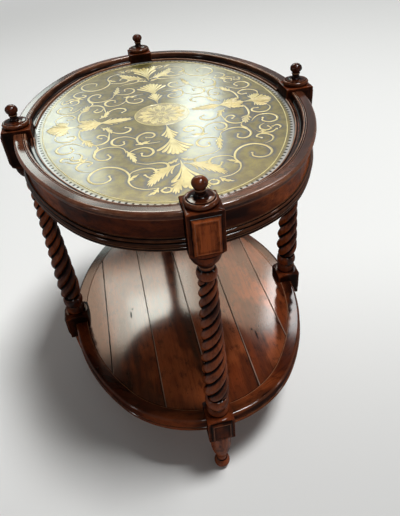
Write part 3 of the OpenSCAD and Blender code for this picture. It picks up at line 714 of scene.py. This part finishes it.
def pressed_block(turned_part, cut_height, square_from, square_to, upside_down=False):
    """turned_part: outline from the axis to the skirt. Heights run away from the turned end."""
    def cut_at(radius):
        share = (radius - SKIRT_R) / (PROUD_R - SKIRT_R)
        return square_from + cut_height * share**CUT_SLOPE

    side_end, cut_end = square_to - EDGE_ROUND, square_from + 0.02
    outline = turned_part + [(SKIRT_R + (PROUD_R - SKIRT_R) * i / 10, square_from + 0.001 * i)
                             for i in range(11)]
    outline += [(PROUD_R, square_from + (square_to - square_from) * i / 12)
                for i in range(1, 12)]
    outline += [(PROUD_R, side_end), (36.8, square_to - 0.35), (35.7, square_to)]
    bm = turn(outline + [(24, square_to), (0, square_to)], 4 * PER_SIDE)
    wear_and_painted_light = bm.verts.layers.float["wear_and_painted_light"]
    for v in bm.verts:
        radius, height = v.co.xy.length, v.co.z
        column = round(atan2(v.co.y, v.co.x) / (2 * pi) * 4 * PER_SIDE) % (4 * PER_SIDE)
        angle, limit = square_edge(column)
        if height >= cut_end:
            edge = HALF_BLOCK - min(abs(limit * cos(angle)), abs(limit * sin(angle)))
            # Corners and edges are pale, for wear and a painted highlight; the flat sides get
            # glaze and a little painted shade.
            v[wear_and_painted_light] = 1.1 - edge if edge < 1.5 else -0.36
            if radius > TOP_R:
                share, start = (height - square_from) / (side_end - square_from), cut_at(limit)
                height = start + (side_end - start) * min(1, share)
            else:
                v[wear_and_painted_light] = 0.6 if radius > 35 else -0.1
            radius *= limit / PROUD_R
        elif radius > SKIRT_R + 0.01:
            share = (radius - SKIRT_R) / (PROUD_R - SKIRT_R)
            radius = SKIRT_R + (limit - SKIRT_R) * share
            height = cut_at(radius)
            v[wear_and_painted_light] = 0.5 * share**6
        v.co = (radius * cos(angle), radius * sin(angle), height)
    if upside_down:
        bmesh.ops.scale(bm, vec=(1, 1, -1), verts=bm.verts)
    return bm


# %% Upper blocks
def upper_block():
    neck_r, neck_top = 11.5, SPINDLE_TOP + 6.9
    bowl = [(0, SPINDLE_TOP), (neck_r, SPINDLE_TOP), (neck_r, SPINDLE_TOP + 3.5)]
    bowl += bend((neck_r, neck_top), SKIRT_R - neck_r, BLOCK_FOOT - neck_top, 18)[:-1]
    return pressed_block(bowl, 8, BLOCK_FOOT, BLOCK_TOP)


at_posts("rim_block", upper_block, BLOCK_WOOD, "upper_block")

# %% Lower blocks
def lower_block():
    root, crest = 16, 20.4
    ring = [(0, -SPINDLE_FOOT), (root, -SPINDLE_FOOT)]
    ring += bead_outline(0.5 - SPINDLE_FOOT, -LOWER_TOP - 0.5, root, crest, 16)
    ring += [(root, -LOWER_TOP), (20, -LOWER_TOP), (23, -LOWER_TOP)]
    return pressed_block(ring, 8, -LOWER_TOP, -LOWER_FOOT, upside_down=True)


at_posts("shelf_block", lower_block, BLOCK_WOOD, "lower_block")

# %% [markdown]
# ## Tablets
# A raised tablet with mitred bevels is planted on each block's outer face. It starts as one
# flat face, and each step insets that face and lifts it, which leaves mitred corners.

# %% Tablets
# Each step of the bevel: how far in from the tablet's edge, how high, and its wear and painted
# light, with painted shade at the bevel's foot and a painted highlight on its crest.
BEVEL = [(0.02, 0.6, -0.7), (0.3, 0.9, -0.6), (0.5, 1.1, -0.5), (1.5, 1.95, -0.3),
         (3.2, 3.5, 0.0), (4.1, 4.2, 0.6), (4.5, 4.42, 1.1), (5.0, 4.5, 0.5),
         (6.5, 4.5, -0.22), (9, 4.5, -0.12), (12, 4.5, 0.3)]


def tablet(foot, top):
    margin_side, margin_end = 5, 6
    half_w, half_h = HALF_BLOCK - margin_side, (top - foot) / 2 - margin_end
    bm = bmesh.new()
    grain, wear_and_painted_light = attributes(bm)
    bmesh.ops.create_grid(bm, x_segments=1, y_segments=1, size=1)
    turn_up = Matrix(((0, 0, 1, HALF_BLOCK), (half_w, 0, 0, 0), (0, half_h, 0, (foot + top) / 2),
                      (0, 0, 0, 1)))
    bmesh.ops.transform(bm, matrix=turn_up, verts=bm.verts)
    for v in bm.verts:
        v[wear_and_painted_light] = BEVEL[0][2]
    face = bm.faces[:][0]
    inset, height = 0, 0
    for next_inset, next_height, value in BEVEL:
        bmesh.ops.inset_region(bm, faces=[face], thickness=next_inset - inset,
                               use_even_offset=True, use_boundary=True)
        bmesh.ops.translate(bm, vec=(next_height - height, 0, 0), verts=face.verts)
        for v in face.verts:
            v[wear_and_painted_light] = value
        inset, height = next_inset, next_height
    bmesh.ops.holes_fill(bm, edges=open_edges(bm))
    return bm


at_posts("rim_tablet", lambda: tablet(BLOCK_FOOT, BLOCK_TOP), MAHOGANY, "upper_tablet")
at_posts("shelf_tablet", lambda: tablet(LOWER_FOOT, LOWER_TOP), BLOCK_WOOD, "lower_tablet")

# %% [markdown]
# ## The brass panel
# The tray's bottom is a sheet of aged brass, with scrollwork standing a little proud of a
# darker ground. The sheet starts as a fine flat grid. Faces outside the oval go, the ragged
# edge that is left is moved out to the oval, and the edge is then folded down under the rim.
# First come the scrolls, because the ground is darkest close beside them.

# %% Smooth strokes through a few points
def flow(points, gap=2.2):
    """A smooth run through the points; each is x, y and the stroke's width there."""
    run = []
    padded = [points[0]] + points + [points[-1]]
    for a, b, c, d in zip(padded, padded[1:], padded[2:], padded[3:]):
        count = max(2, int(hypot(c[0] - b[0], c[1] - b[1]) / gap))
        for i in range(count):
            t = i / count
            run.append(tuple(
                0.5 * (2 * q + (r - p) * t + (2 * p - 5 * q + 4 * r - s) * t * t
                       + (3 * q - p - 3 * r + s) * t**3)
                for p, q, r, s in zip(a, b, c, d)))
    return run + [points[-1]]


def scroll(places, start=1.5, middle=5.2, end=3.0, knob=5.8):
    """A stroke that swells in its middle and ends in a small knob; the rest are widths."""
    points = []
    for i, (x, y) in enumerate(places):
        share = i / (len(places) - 1)
        width = start + (middle - start) * sin(pi * min(1, share * 1.3) / 2)
        if share > 0.5:
            width = middle + (end - middle) * (share - 0.5) * 2
        points.append((x, y, width))
    (x, y), (before_x, before_y) = places[-1], places[-2]
    length = hypot(x - before_x, y - before_y)
    on = ((x - before_x) / length, (y - before_y) / length)
    points += [(x + on[0] * far, y + on[1] * far, width) for far, width in ((2, knob), (4.2, 1))]
    return flow(points)


def towards(foot, tip, curve=0.0):
    """Places points by their share of the way to the tip and how far aside they lie."""
    dx, dy = tip[0] - foot[0], tip[1] - foot[1]
    length = hypot(dx, dy)

    def at(along, aside, width):
        aside += curve * length * 4 * along * (1 - along)
        return (foot[0] + dx * along - dy / length * aside,
                foot[1] + dy * along + dx / length * aside, width)

    return at


def leaf(foot, tip, half_width, lobes, curve=0.0):
    """Strokes that fan out from the foot of an acanthus leaf to its scalloped edge."""
    at = towards(foot, tip, curve)
    fat = min(5.5, 0.95 * half_width / lobes + 1.3)
    strokes = [flow([at(0, 0, 3), at(0.4, 0, 3.6), at(0.8, 0, fat), at(1, 0, 0.5)])]
    for side in (-1, 1):
        for i in range(1, lobes + 1):
            share = i / lobes
            end, aside = 1 - 0.62 * share**1.2, side * half_width * share**0.75
            strokes.append(flow([
                at(0.1, side * 0.4, 1.5), at(end * 0.45, aside * 0.22, fat * 0.6),
                at(end * 0.8, aside * 0.62, fat), at(end, aside, fat * 0.75),
                at(end + 0.02, aside * 1.18, 0.5)]))
    return strokes


def plume(foot, tip, half_width, lobes):
    """Strokes that run up together from a narrow foot and flare out at their ends."""
    at = towards(foot, tip)
    fat = half_width / lobes * 0.78 + 0.8
    run = ((0, 1.4), (0.3, 1.8), (0.6, fat * 0.6), (0.85, fat), (0.96, fat), (1, 0.6))
    strokes = []
    for i in range(-lobes, lobes + 1):
        share = i / lobes
        reach, spread = 1 - 0.3 * abs(share) ** 1.5, half_width * share
        strokes.append(flow([at(t * reach, spread * (0.16 * t + 0.84 * t**2.6), width)
                             for t, width in run]))
    return strokes


# %% [markdown]
# ## Scrollwork
# Scrolls of this kind are drawn for one quarter and mirrored, as an engraver does with a
# tracing. Each row of the first list is one stroke of the burin, from its thin start to its
# curl. A row of the second is a leaf: its foot, its tip, half its width, its lobes, its curve.

# %% One quarter of the scrollwork, in millimetres from the middle
QUARTER_SCROLLS = [
    [(44, 256), (62, 254), (77, 243), (83, 226), (80, 207), (87, 187), (101, 174), (119, 171),
     (135, 182), (140, 200), (132, 214), (118, 217), (108, 210), (109, 201)],
    [(81, 208), (74, 198), (59, 193), (45, 197), (40, 209), (44, 220), (53, 222), (57, 215)],
    [(66, 171), (51, 181), (33, 183), (22, 189), (21, 199), (29, 205), (37, 203)],
    [(78, 134), (80, 118), (89, 108), (103, 103), (118, 106), (127, 117), (128, 131), (121, 143),
     (110, 146), (103, 139), (106, 131)],
    [(75, 147), (72, 133), (61, 125), (47, 124), (37, 133), (36, 146), (44, 155), (54, 152),
     (54, 145)],
    [(20, 112), (40, 111), (52, 106), (56, 93), (52, 78), (40, 70), (28, 74), (25, 84), (31, 91),
     (38, 89)],
    [(54, 96), (60, 84), (72, 73), (86, 72), (96, 80), (97, 94), (88, 103), (78, 100), (78, 93)],
    [(101, 20), (97, 38), (88, 52), (75, 57), (64, 51), (62, 41), (68, 36)],
    [(98, 40), (100, 58), (103, 76), (112, 86), (124, 88), (129, 82)],
    [(101, 68), (107, 55), (116, 52), (120, 59), (115, 64)],
    [(147, 14), (150, 32), (148, 52), (142, 66)],
    [(124, 90), (121, 100), (126, 110), (127, 120)],
    [(142, 88), (149, 78), (161, 68), (178, 69), (188, 83), (183, 98), (169, 102), (160, 93),
     (163, 84)],
    [(186, 22), (191, 40), (181, 55), (166, 57), (156, 47), (159, 37), (167, 37)],
    [(137, 176), (150, 170), (157, 157), (151, 145), (140, 141), (132, 148), (137, 154)],
    [(160, 104), (150, 111), (147, 122), (154, 131), (164, 127), (162, 119)],
    [(176, 132), (181, 125), (177, 117), (170, 120)],
    [(138, 128), (146, 137), (160, 140), (170, 133)],
    [(34, 257), (27, 262), (29, 270), (37, 271), (41, 264), (36, 260)],
]
QUARTER_LEAVES = [
    ((77, 126), (67, 174), 6, 3, 0.05), ((146, 58), (130, 94), 8, 3, 0.06),
    ((84, 226), (65, 208), 4, 2, 0.1), ((60, 109), (34, 102), 5, 2, -0.06),
    ((112, 20), (95, 52), 6, 2, 0.12), ((44, 256), (62, 271), 4, 2, 0.15),
    ((3, 196), (58, 250), 13, 6, -0.09), ((2, 236), (24, 281), 11, 4, -0.06),
    ((3, 180), (24, 190), 4, 2, 0.12), ((112, 4), (152, 21), 9, 4, 0.06),
    ((170, 6), (188, 30), 9, 4, 0.08), ((150, 126), (145, 144), 4, 2),
]
quarter_strokes = [scroll(places) for places in QUARTER_SCROLLS]
for row in QUARTER_LEAVES:
    quarter_strokes += leaf(*row)
cross_strokes = (leaf((116, 0), (52, 0), 13, 5) + plume((96, 0), (154, 0), 20, 3)
                 + plume((150, 0), (207, 0), 27, 4))
long_strokes = (plume((0, 92), (0, 166), 30, 4) + plume((0, 186), (0, 274), 24, 3)
                + plume((0, 52), (0, 108), 14, 3))
print("strokes in one quarter:", len(quarter_strokes))

# %% The round boss in the middle
BOSS_R, BOSS_LEAVES, LEAF_FROM, LEAF_TO = 49, 12, 14, 43.5


def boss_strokes():
    strokes = []
    for i in range(BOSS_LEAVES):
        a = 2 * pi * i / BOSS_LEAVES
        foot, tip = ((r * cos(a), r * sin(a)) for r in (LEAF_FROM, LEAF_TO))
        strokes += plume(foot, tip, 9, 2)
    for i in range(16):
        a = pi / 8 * (i + 0.5)
        strokes.append(flow([(r * cos(a), r * sin(a), w) for r, w in ((4, 1), (8, 3), (12, 1))]))
    return strokes


def ring_stroke(radius, width):
    return [(x, y, width) for x, y in arc((0, 0), radius, 0, 360, 96)]


# %% Turn strokes into low rounded ridges
RIDGE_H, THINNEST = 0.75, 0.15


def mirror(bm, axes, merge_dist=0.0005):
    """Adds the mirror image across each axis in turn."""
    for axis in axes:
        bmesh.ops.mirror(bm, geom=everything(bm), axis=axis, matrix=Matrix.Identity(4),
                         merge_dist=merge_dist)
    return bm


def ridges(strokes, axes=""):
    """Flattened tubes, half sunk in the plate, with the axes to mirror them across."""
    curve = bpy.data.curves.new("strokes", "CURVE")
    curve.dimensions = "3D"
    curve.bevel_depth, curve.bevel_resolution, curve.use_fill_caps = 1, 2, True
    for stroke in strokes:
        spline = curve.splines.new("POLY")
        spline.points.add(len(stroke) - 1)
        for point, (x, y, width) in zip(spline.points, stroke):
            point.co, point.radius = (x, y, 0, 1), max(THINNEST, width / 2)
    holder = bpy.data.objects.new("strokes", curve)
    mesh = bpy.data.meshes.new_from_object(holder)
    bm = bmesh.new()
    bm.from_mesh(mesh)
    bpy.data.objects.remove(holder)
    bpy.data.curves.remove(curve)
    bpy.data.meshes.remove(mesh)
    crown = bm.verts.layers.float.new("crown")
    for v in bm.verts:
        height = RIDGE_H * v.co.z / (abs(v.co.z) + 1.6)
        v[crown] = height / 0.42
        v.co.z = PANEL_TOP + height
    return mirror(bm, axes)


# %% [markdown]
# ## Brass finishes
# Old brass is dull: a skin of oxide hides most of the metal, and lacquer lies over it. So the
# metal is only partly metallic, under a clear coat that gives the sharp reflections. The
# ground is mottled between silver grey and olive, with a dark patina beside the strokes. The
# ridges were rubbed bright, and keep a little tarnish in patches.

# %% Ground and ridges
def plate_finish():
    brass = Finish("aged_brass")
    place = brass.place()
    close, edge = brass.attribute("close"), brass.attribute("edge")
    clouds = brass.noise(place, 9, 4, 0.6)
    mottle = brass.noise(place, 46, 4, 0.65)
    brushed = brass.noise(place, 1, 2, 0.6, (900, 90, 90))
    grain = brass.noise(place, 420, 2, 0.6)
    olive = mottle.between(0.35, 0.65).blend((124, 113, 28), (92, 83, 24))
    grey = mottle.between(0.35, 0.65).blend((79, 83, 79), (64, 67, 65))
    colour = (close + (clouds - 0.5) * 1.6).between(0.25, 0.95).blend(olive, grey)
    colour = close.between(0.75, 1.0, 0, 0.7).blend(colour, (56, 54, 42))
    colour = (grain.between(0.4, 0.6) * 0.35).blend(colour, (84, 82, 66))
    colour = edge.between(0.35, 0.65).blend(colour, (150, 152, 148))
    # Painted shade along the sheet's edge, beside the rim.
    colour = edge.between(0.85, 0.98).blend(colour, (70, 66, 56))
    return brass.surface(
        base_color=colour, metallic=0.35, roughness=mottle.between(0.3, 0.7, 0.34, 0.44),
        normal=brass.bump(brushed * 0.5 + mottle, 0.06, 0.0002),
        coat_weight=1.0, coat_roughness=0.17, coat_ior=1.5)


def ridge_finish():
    gold = Finish("rubbed_brass")
    tarnish = gold.noise(gold.place(), 30, 4, 0.6)
    fine = gold.noise(gold.place(), 320, 3, 0.6)
    colour = tarnish.between(0.42, 0.68).blend((206, 192, 122), (178, 163, 98))
    colour = fine.between(0.55, 0.75, 0, 0.4).blend(colour, (150, 136, 92))
    colour = gold.attribute("crown").between(0.1, 0.75, 0.9, 0).blend(colour, (88, 82, 60))
    return gold.surface(
        base_color=colour, metallic=0.35, coat_weight=1.0, coat_roughness=0.18,
        roughness=fine.between(0.3, 0.7, 0.36, 0.46), normal=gold.bump(fine, 0.2, 0.0002))


def punch_finish():
    punch = Finish("blackened_brass")
    grime = punch.noise(punch.place(), 500, 3, 0.6)
    return punch.surface(
        base_color=grime.between(0.35, 0.65).blend((20, 18, 15), (44, 40, 33)), metallic=0.3,
        roughness=0.7, specular_ior_level=0.2, normal=punch.bump(grime, 0.3, 0.0002))


def ground_finish():
    ground = Finish("boss_ground")
    stipple = ground.noise(ground.place(), 260, 3, 0.6)
    return ground.surface(
        base_color=stipple.between(0.35, 0.65).blend((172, 160, 106), (132, 121, 78)),
        metallic=0.35, roughness=0.4, coat_weight=1.0, coat_roughness=0.2,
        normal=ground.bump(stipple, 0.3, 0.0002))


PLATE, RIDGE, PUNCHED, GROUND = plate_finish(), ridge_finish(), punch_finish(), ground_finish()

# %% Make the scrollwork
rings = [ring_stroke(BOSS_R, 2.2), ring_stroke(BOSS_R - 3, 1.2), ring_stroke(13.5, 1.4)]
for name, strokes, axes in (
    ("scrollwork", quarter_strokes, "XY"), ("plumes", long_strokes, "Y"),
    ("cross_leaves", cross_strokes, "X"), ("boss_leaves", boss_strokes(), ""),
    ("boss_rings", rings, ""),
):
    finish_piece(name, ridges(strokes, axes), RIDGE)
    print(name, "triangles:", made_triangles[name])

# %% A boss plate under the leaves, and the bright line round the scrollwork
def fold_down(bm, depth):
    """Folds a sheet's open edge down and closes the sheet below."""
    skirt = bmesh.ops.extrude_edge_only(bm, edges=open_edges(bm))
    low = [g for g in skirt["geom"] if isinstance(g, bmesh.types.BMVert)]
    bmesh.ops.translate(bm, vec=(0, 0, -depth), verts=low)
    bmesh.ops.holes_fill(bm, edges=open_edges(bm))
    return bm


bm = bmesh.new()
bmesh.ops.create_circle(bm, cap_ends=True, radius=BOSS_R - 0.5, segments=96)
bmesh.ops.translate(bm, vec=(0, 0, PANEL_TOP + 0.06), verts=bm.verts)
finish_piece("boss_ground", fold_down(bm, 0.5), GROUND)

LINE_INSET, LINE_R, LINE_FLATNESS = 46, 0.95, 0.5
line = [(x, PANEL_TOP + LINE_FLATNESS * z)
        for x, z in arc((LINE_INSET, 0), LINE_R, 0, 360, 12)[:-1]]
bm = mirror(sweep(line, reach=0.6, cut=0), "XY", merge_dist=0.01)
crown = bm.verts.layers.float.new("crown")
for v in bm.verts:
    v[crown] = (v.co.z - PANEL_TOP) / 0.4
finish_piece("bright_line", bm, RIDGE)
print("bright line triangles:", made_triangles["bright_line"])

# %% [markdown]
# ## Punched border
# A row of small dark punch marks runs between the bright line and the rim, one each ten
# millimetres. One mark is a low dome with few faces, half sunk in the brass. Marks are made
# along one quarter, turned the way the oval runs, and mirrored.

# %% Punch marks
DOT_INSET, DOT_GAP = 39.5, 10.2
side_length = (SIDE_RADIUS - DOT_INSET) * JOIN
quarter_length = side_length + (END_RADIUS - DOT_INSET) * (pi / 2 - JOIN)
dots = round(quarter_length / DOT_GAP)
bm = bmesh.new()
for i in range(dots):
    along = (i + 0.5) * quarter_length / dots
    radius, centre, a = SIDE_RADIUS - DOT_INSET, (-SIDE_CENTRE, 0), 0
    if along >= side_length:
        radius, centre, a = END_RADIUS - DOT_INSET, (0, END_CENTRE), JOIN
        along -= side_length
    a += along / radius
    x, y = centre[0] + radius * cos(a), centre[1] + radius * sin(a)
    place = Matrix.Translation((x, y, PANEL_TOP)) @ Matrix.Rotation(a, 4, "Z")
    shape = place @ Matrix.Diagonal((2.6, 2.1, 0.35, 1))
    bmesh.ops.create_uvsphere(bm, u_segments=8, v_segments=4, radius=1, matrix=shape)
finish_piece("punch_marks", mirror(bm, "XY"), PUNCHED)
print("punch marks:", 4 * dots, "triangles:", made_triangles["punch_marks"])

# %% The plate itself
GRID, PLAY, EDGE_STRIP, PATINA_REACH, BORDER_INSET, BORDER_W = 2.6, 0.3, 1.2, 9, 47, 13


def inset_of(x, y):
    """How far inside the rim's outer face a point lies."""
    centre_x, centre_y, radius = arc_beside(abs(x), abs(y))
    return radius - hypot(abs(x) - centre_x, abs(y) - centre_y)


def plate_edge(x, y):
    """The point of the plate's edge that is nearest: the oval, or a post's inner face."""
    inner = POST_INSET + HALF_BLOCK + PLAY
    sx, sy = (1 if x > 0 else -1), (1 if y > 0 else -1)
    if abs(y) < HALF_BLOCK - PLAY:
        return sx * (HALF_SHORT - inner), y
    if abs(x) < HALF_BLOCK - PLAY:
        return x, sy * (HALF_LONG - inner)
    centre_x, centre_y, _ = arc_beside(abs(x), abs(y))
    out = Vector((x - sx * centre_x, y - sy * centre_y)).normalized()
    grow = inset_of(x, y) - RIM_W - 0.2
    return x + out.x * grow, y + out.y * grow


def brass_plate():
    """Carries how close each point lies to a stroke, and how near to the sheet's edge."""
    bm = bmesh.new()
    close, edge = bm.verts.layers.float.new("close"), bm.verts.layers.float.new("edge")
    columns, rows = round(2 * HALF_SHORT / GRID), round(2 * HALF_LONG / GRID)
    bmesh.ops.create_grid(bm, x_segments=columns, y_segments=rows, size=1)
    bmesh.ops.transform(bm, matrix=Matrix.Diagonal((HALF_SHORT, HALF_LONG, 1, 1)), verts=bm.verts)
    outside = [v for v in bm.verts if inset_of(v.co.x, v.co.y) < RIM_W + EDGE_STRIP]
    bmesh.ops.delete(bm, geom=outside, context="VERTS")
    for v in {v for e in open_edges(bm) for v in e.verts}:
        v.co.x, v.co.y = plate_edge(v.co.x, v.co.y)
    strokes = quarter_strokes + cross_strokes + long_strokes
    points = [p for stroke in strokes for p in stroke]
    tree = kdtree.KDTree(len(points))
    for i, (x, y, width) in enumerate(points):
        tree.insert((abs(x), abs(y), 0), i)
    tree.balance()
    for v in bm.verts:
        _, i, distance = tree.find((abs(v.co.x), abs(v.co.y), 0))
        v[close] = max(0, 1 - max(0, distance - points[i][2] / 2) / PATINA_REACH)
        v[edge] = max(0, min(1, (BORDER_INSET - inset_of(v.co.x, v.co.y)) / BORDER_W))
        v.co.z = PANEL_TOP
    return fold_down(bm, PANEL_TOP - RIM_BOTTOM)


finish_piece("brass_plate", brass_plate(), PLATE, ["brass_panel"])
print("brass plate triangles:", made_triangles["brass_plate"])

# %% [markdown]
# ## Plain boards and hidden hardware
# The planks, the deck board under the brass, the battens, the glue blocks, the screws and the
# nail-on glides keep their CAD shape. Only the planks show, the rest is seen from below.

# %% Finish the CAD parts that stay
def raw_wood():
    wood = Finish("secondary_wood")
    figure = wood.noise(wood.place(), 1, 4, 0.6, (60, 5, 60))
    fibres = wood.noise(wood.place(), 1, 3, 0.6, (700, 30, 700))
    colour = figure.between(0.35, 0.65).blend((126, 88, 58), (160, 120, 84))
    colour = (fibres.between(0.5, 0.75) * 0.4).blend(colour, (98, 66, 44))
    return wood.surface(base_color=colour, roughness=0.75,
                        normal=wood.bump(fibres, 0.25, 0.0004))


def turned_steel():
    steel = Finish("bright_steel")
    scuffs = steel.noise(steel.place(), 320, 3, 0.6)
    return steel.surface(
        base_color=scuffs.between(0.4, 0.7).blend((150, 150, 148), (190, 190, 187)),
        metallic=0.9, roughness=scuffs.between(0.3, 0.7, 0.25, 0.5),
        normal=steel.bump(scuffs, 0.1, 0.0001))


RAW_WOOD, STEEL = raw_wood(), turned_steel()
for name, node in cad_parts.items():
    kind = (SHELF_WOOD if name.startswith("plank") else
            STEEL if name in ("shelf_screws", "foot_glides") else RAW_WOOD)
    node.data.materials.clear()
    node.data.materials.append(kind)
print("CAD parts that stay:", [n for n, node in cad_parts.items() if not node.hide_render])

# %% [markdown]
# ## Camera, light and room
# The camera stands where the photograph was taken from: above the front left, looking down.
# One large lamp, high up on the right, lights the table and throws its soft shadow. The other
# lamps are windows and soft lights that show only as reflections, in the polish of the wood
# and in the brass. The room that reflections see is dim, most of all high up, so that dark
# wood stays dark. The floor is pale, with a painted pool of light round the table and painted
# shade towards the camera, and far away it fades into the backdrop.

# %% Camera
FOCAL_PX, LONG_SIDE_PX, SENSOR = 485.43, 516, 36
CAMERA_PLACE, CAMERA_TURN = (-0.0875, -0.8465, 0.9687), Vector((2.2352, -0.2772, 0.0348))
right, down, forward = Matrix.Rotation(CAMERA_TURN.length, 3, CAMERA_TURN)
lens = bpy.data.cameras.new("camera")
lens.sensor_width = SENSOR
lens.lens = FOCAL_PX * SENSOR / LONG_SIDE_PX
lens.clip_start, lens.clip_end = 0.01, 60
camera = bpy.data.objects.new("camera", lens)
bpy.context.scene.collection.objects.link(camera)
facing = Matrix((right, -down, -forward)).transposed()
camera.matrix_world = Matrix.Translation(CAMERA_PLACE) @ facing.to_4x4()
bpy.context.scene.camera = camera
print("lens:", round(lens.lens, 2), "mm")

# %% Floor
BACKDROP, FLOOR_REACH = 0.86, 14


def floor_finish():
    """Pale paint with a painted pool of light near the table and painted shade towards the
    camera, and a smooth change to the backdrop's own light far from the table.
    """
    floor = Finish("pale_floor")
    away = floor.place().measure("DISTANCE", (-0.6, 0.8, 0))
    # A painted pool of light: brighter near the table, darker far off.
    colour = away.between(1.4, 5.0).blend((250, 249, 246), (222, 222, 219))
    depth = floor.place().measure("DOT_PRODUCT", (0, 1, 0))
    # Painted shade: darker towards the camera.
    colour = depth.between(-0.65, 0.3).blend((212, 211, 209), colour)
    floor.surface(base_color=colour, roughness=0.9, specular_ior_level=0.1)
    backdrop = floor.node("Emission", {}, {"Color": (1, 1, 1), "Strength": BACKDROP})
    seen = sum(floor.node("LightPath", output=f"Is {kind} Ray")
               for kind in ("Camera", "Glossy", "Transmission"))
    mixed = floor.node("MixShader", {}, {0: away.between(2.2, 7.5) * seen.between(0, 1),
                                         1: Value(floor, floor.shader.outputs[0]), 2: backdrop})
    floor.feed(floor.tree.nodes["Material Output"].inputs["Surface"], mixed)
    return floor.owner


bm = bmesh.new()
bmesh.ops.create_grid(bm, x_segments=1, y_segments=1, size=FLOOR_REACH)
floor_mesh = bpy.data.meshes.new("floor")
bm.to_mesh(floor_mesh)
bm.free()
floor_mesh.materials.append(floor_finish())
floor = bpy.data.objects.new("floor", floor_mesh)
bpy.context.scene.collection.objects.link(floor)

# %% Light
def lamp(name, azimuth, elevation, distance, size, radiance, target=(0, 0, 0.4),
         colour=(1, 1, 1), for_gloss=True):
    """A rectangular lamp; its azimuth runs from +Y towards +X, radiance 1 looks plain white."""
    light = bpy.data.lights.new(name, "AREA")
    light.shape = "RECTANGLE"
    light.size, light.size_y = size
    light.energy = radiance * pi * size[0] * size[1]
    light.color = colour
    made = bpy.data.objects.new(name, light)
    a, e = radians(azimuth), radians(elevation)
    aim = Vector((sin(a) * cos(e), cos(a) * cos(e), sin(e)))
    made.location = Vector(target) + aim * distance
    made.rotation_mode = "QUATERNION"
    made.rotation_quaternion = aim.to_track_quat("Z", "Y")
    made.visible_diffuse = not for_gloss
    bpy.context.scene.collection.objects.link(made)


ON_BRASS, ON_SHELF = (0, 0, 0.62), (0, 0, 0.17)
COOL, WARM = (0.87, 1.0, 0.94), (1.0, 0.68, 0.48)
lamp("key", 106, 74, 9, (2.1, 2.1), 52, colour=(0.97, 0.99, 1.0), for_gloss=False)
lamp("front_soft", 172, 58, 6, (2.0, 1.2), 12)
lamp("low_right", 110, 22, 6, (0.5, 1.6), 14)
lamp("low_left", -106, 22, 6, (0.5, 1.6), 14)
lamp("window_right", 11, 24.5, 6.4, (0.6, 1.3), 6.4, ON_BRASS, COOL)
lamp("window_left", -12, 22.5, 6.4, (1.1, 1.1), 4.2, ON_BRASS, COOL)
lamp("window_low", -6, 27, 6.4, (0.45, 1.1), 4.4, ON_BRASS, COOL)
lamp("shelf_window", -0.5, 43.5, 6, (1.3, 1.0), 4.2, ON_SHELF, COOL)
lamp("shelf_core", -0.5, 44.5, 6, (0.7, 0.5), 7, ON_SHELF, COOL)
lamp("shelf_glow", 3, 43.5, 9, (5.0, 1.8), 4.8, ON_SHELF, WARM)
lamp("side_window", 27, 44, 6, (0.8, 0.9), 12, ON_SHELF)
print("lamps:", len(bpy.data.lights))

# %% The room: the camera sees the plain backdrop, and reflections see the dimmer walls
room = Finish("room", bpy.data.worlds, "Background")
way = room.node("TexCoord", output="Generated")
back = way.measure("DOT_PRODUCT", (0.15, 0.99, 0))
up = way.measure("DOT_PRODUCT", (0, 0, 1))
level = back.between(-0.1, 0.9, 0.28, 0.3) * up.between(0.4, 0.75, 1, 0.15)
level = level + up.between(0.85, 0.97, 0, 0.25)
seen = room.node("LightPath", output="Is Camera Ray")
strength = seen * (BACKDROP - level) + level
bpy.context.scene.world = room.surface(color=(1, 1, 1), strength=strength)
bpy.context.scene.view_settings.view_transform = "Standard"

# %% [markdown]
# ## Triangles
# The triangles of the new pieces are added up and printed. The finer pieces must not be
# bigger than the CAD model.

# %% Print the triangle total
print("triangles in new pieces:", sum(made_triangles.values()))
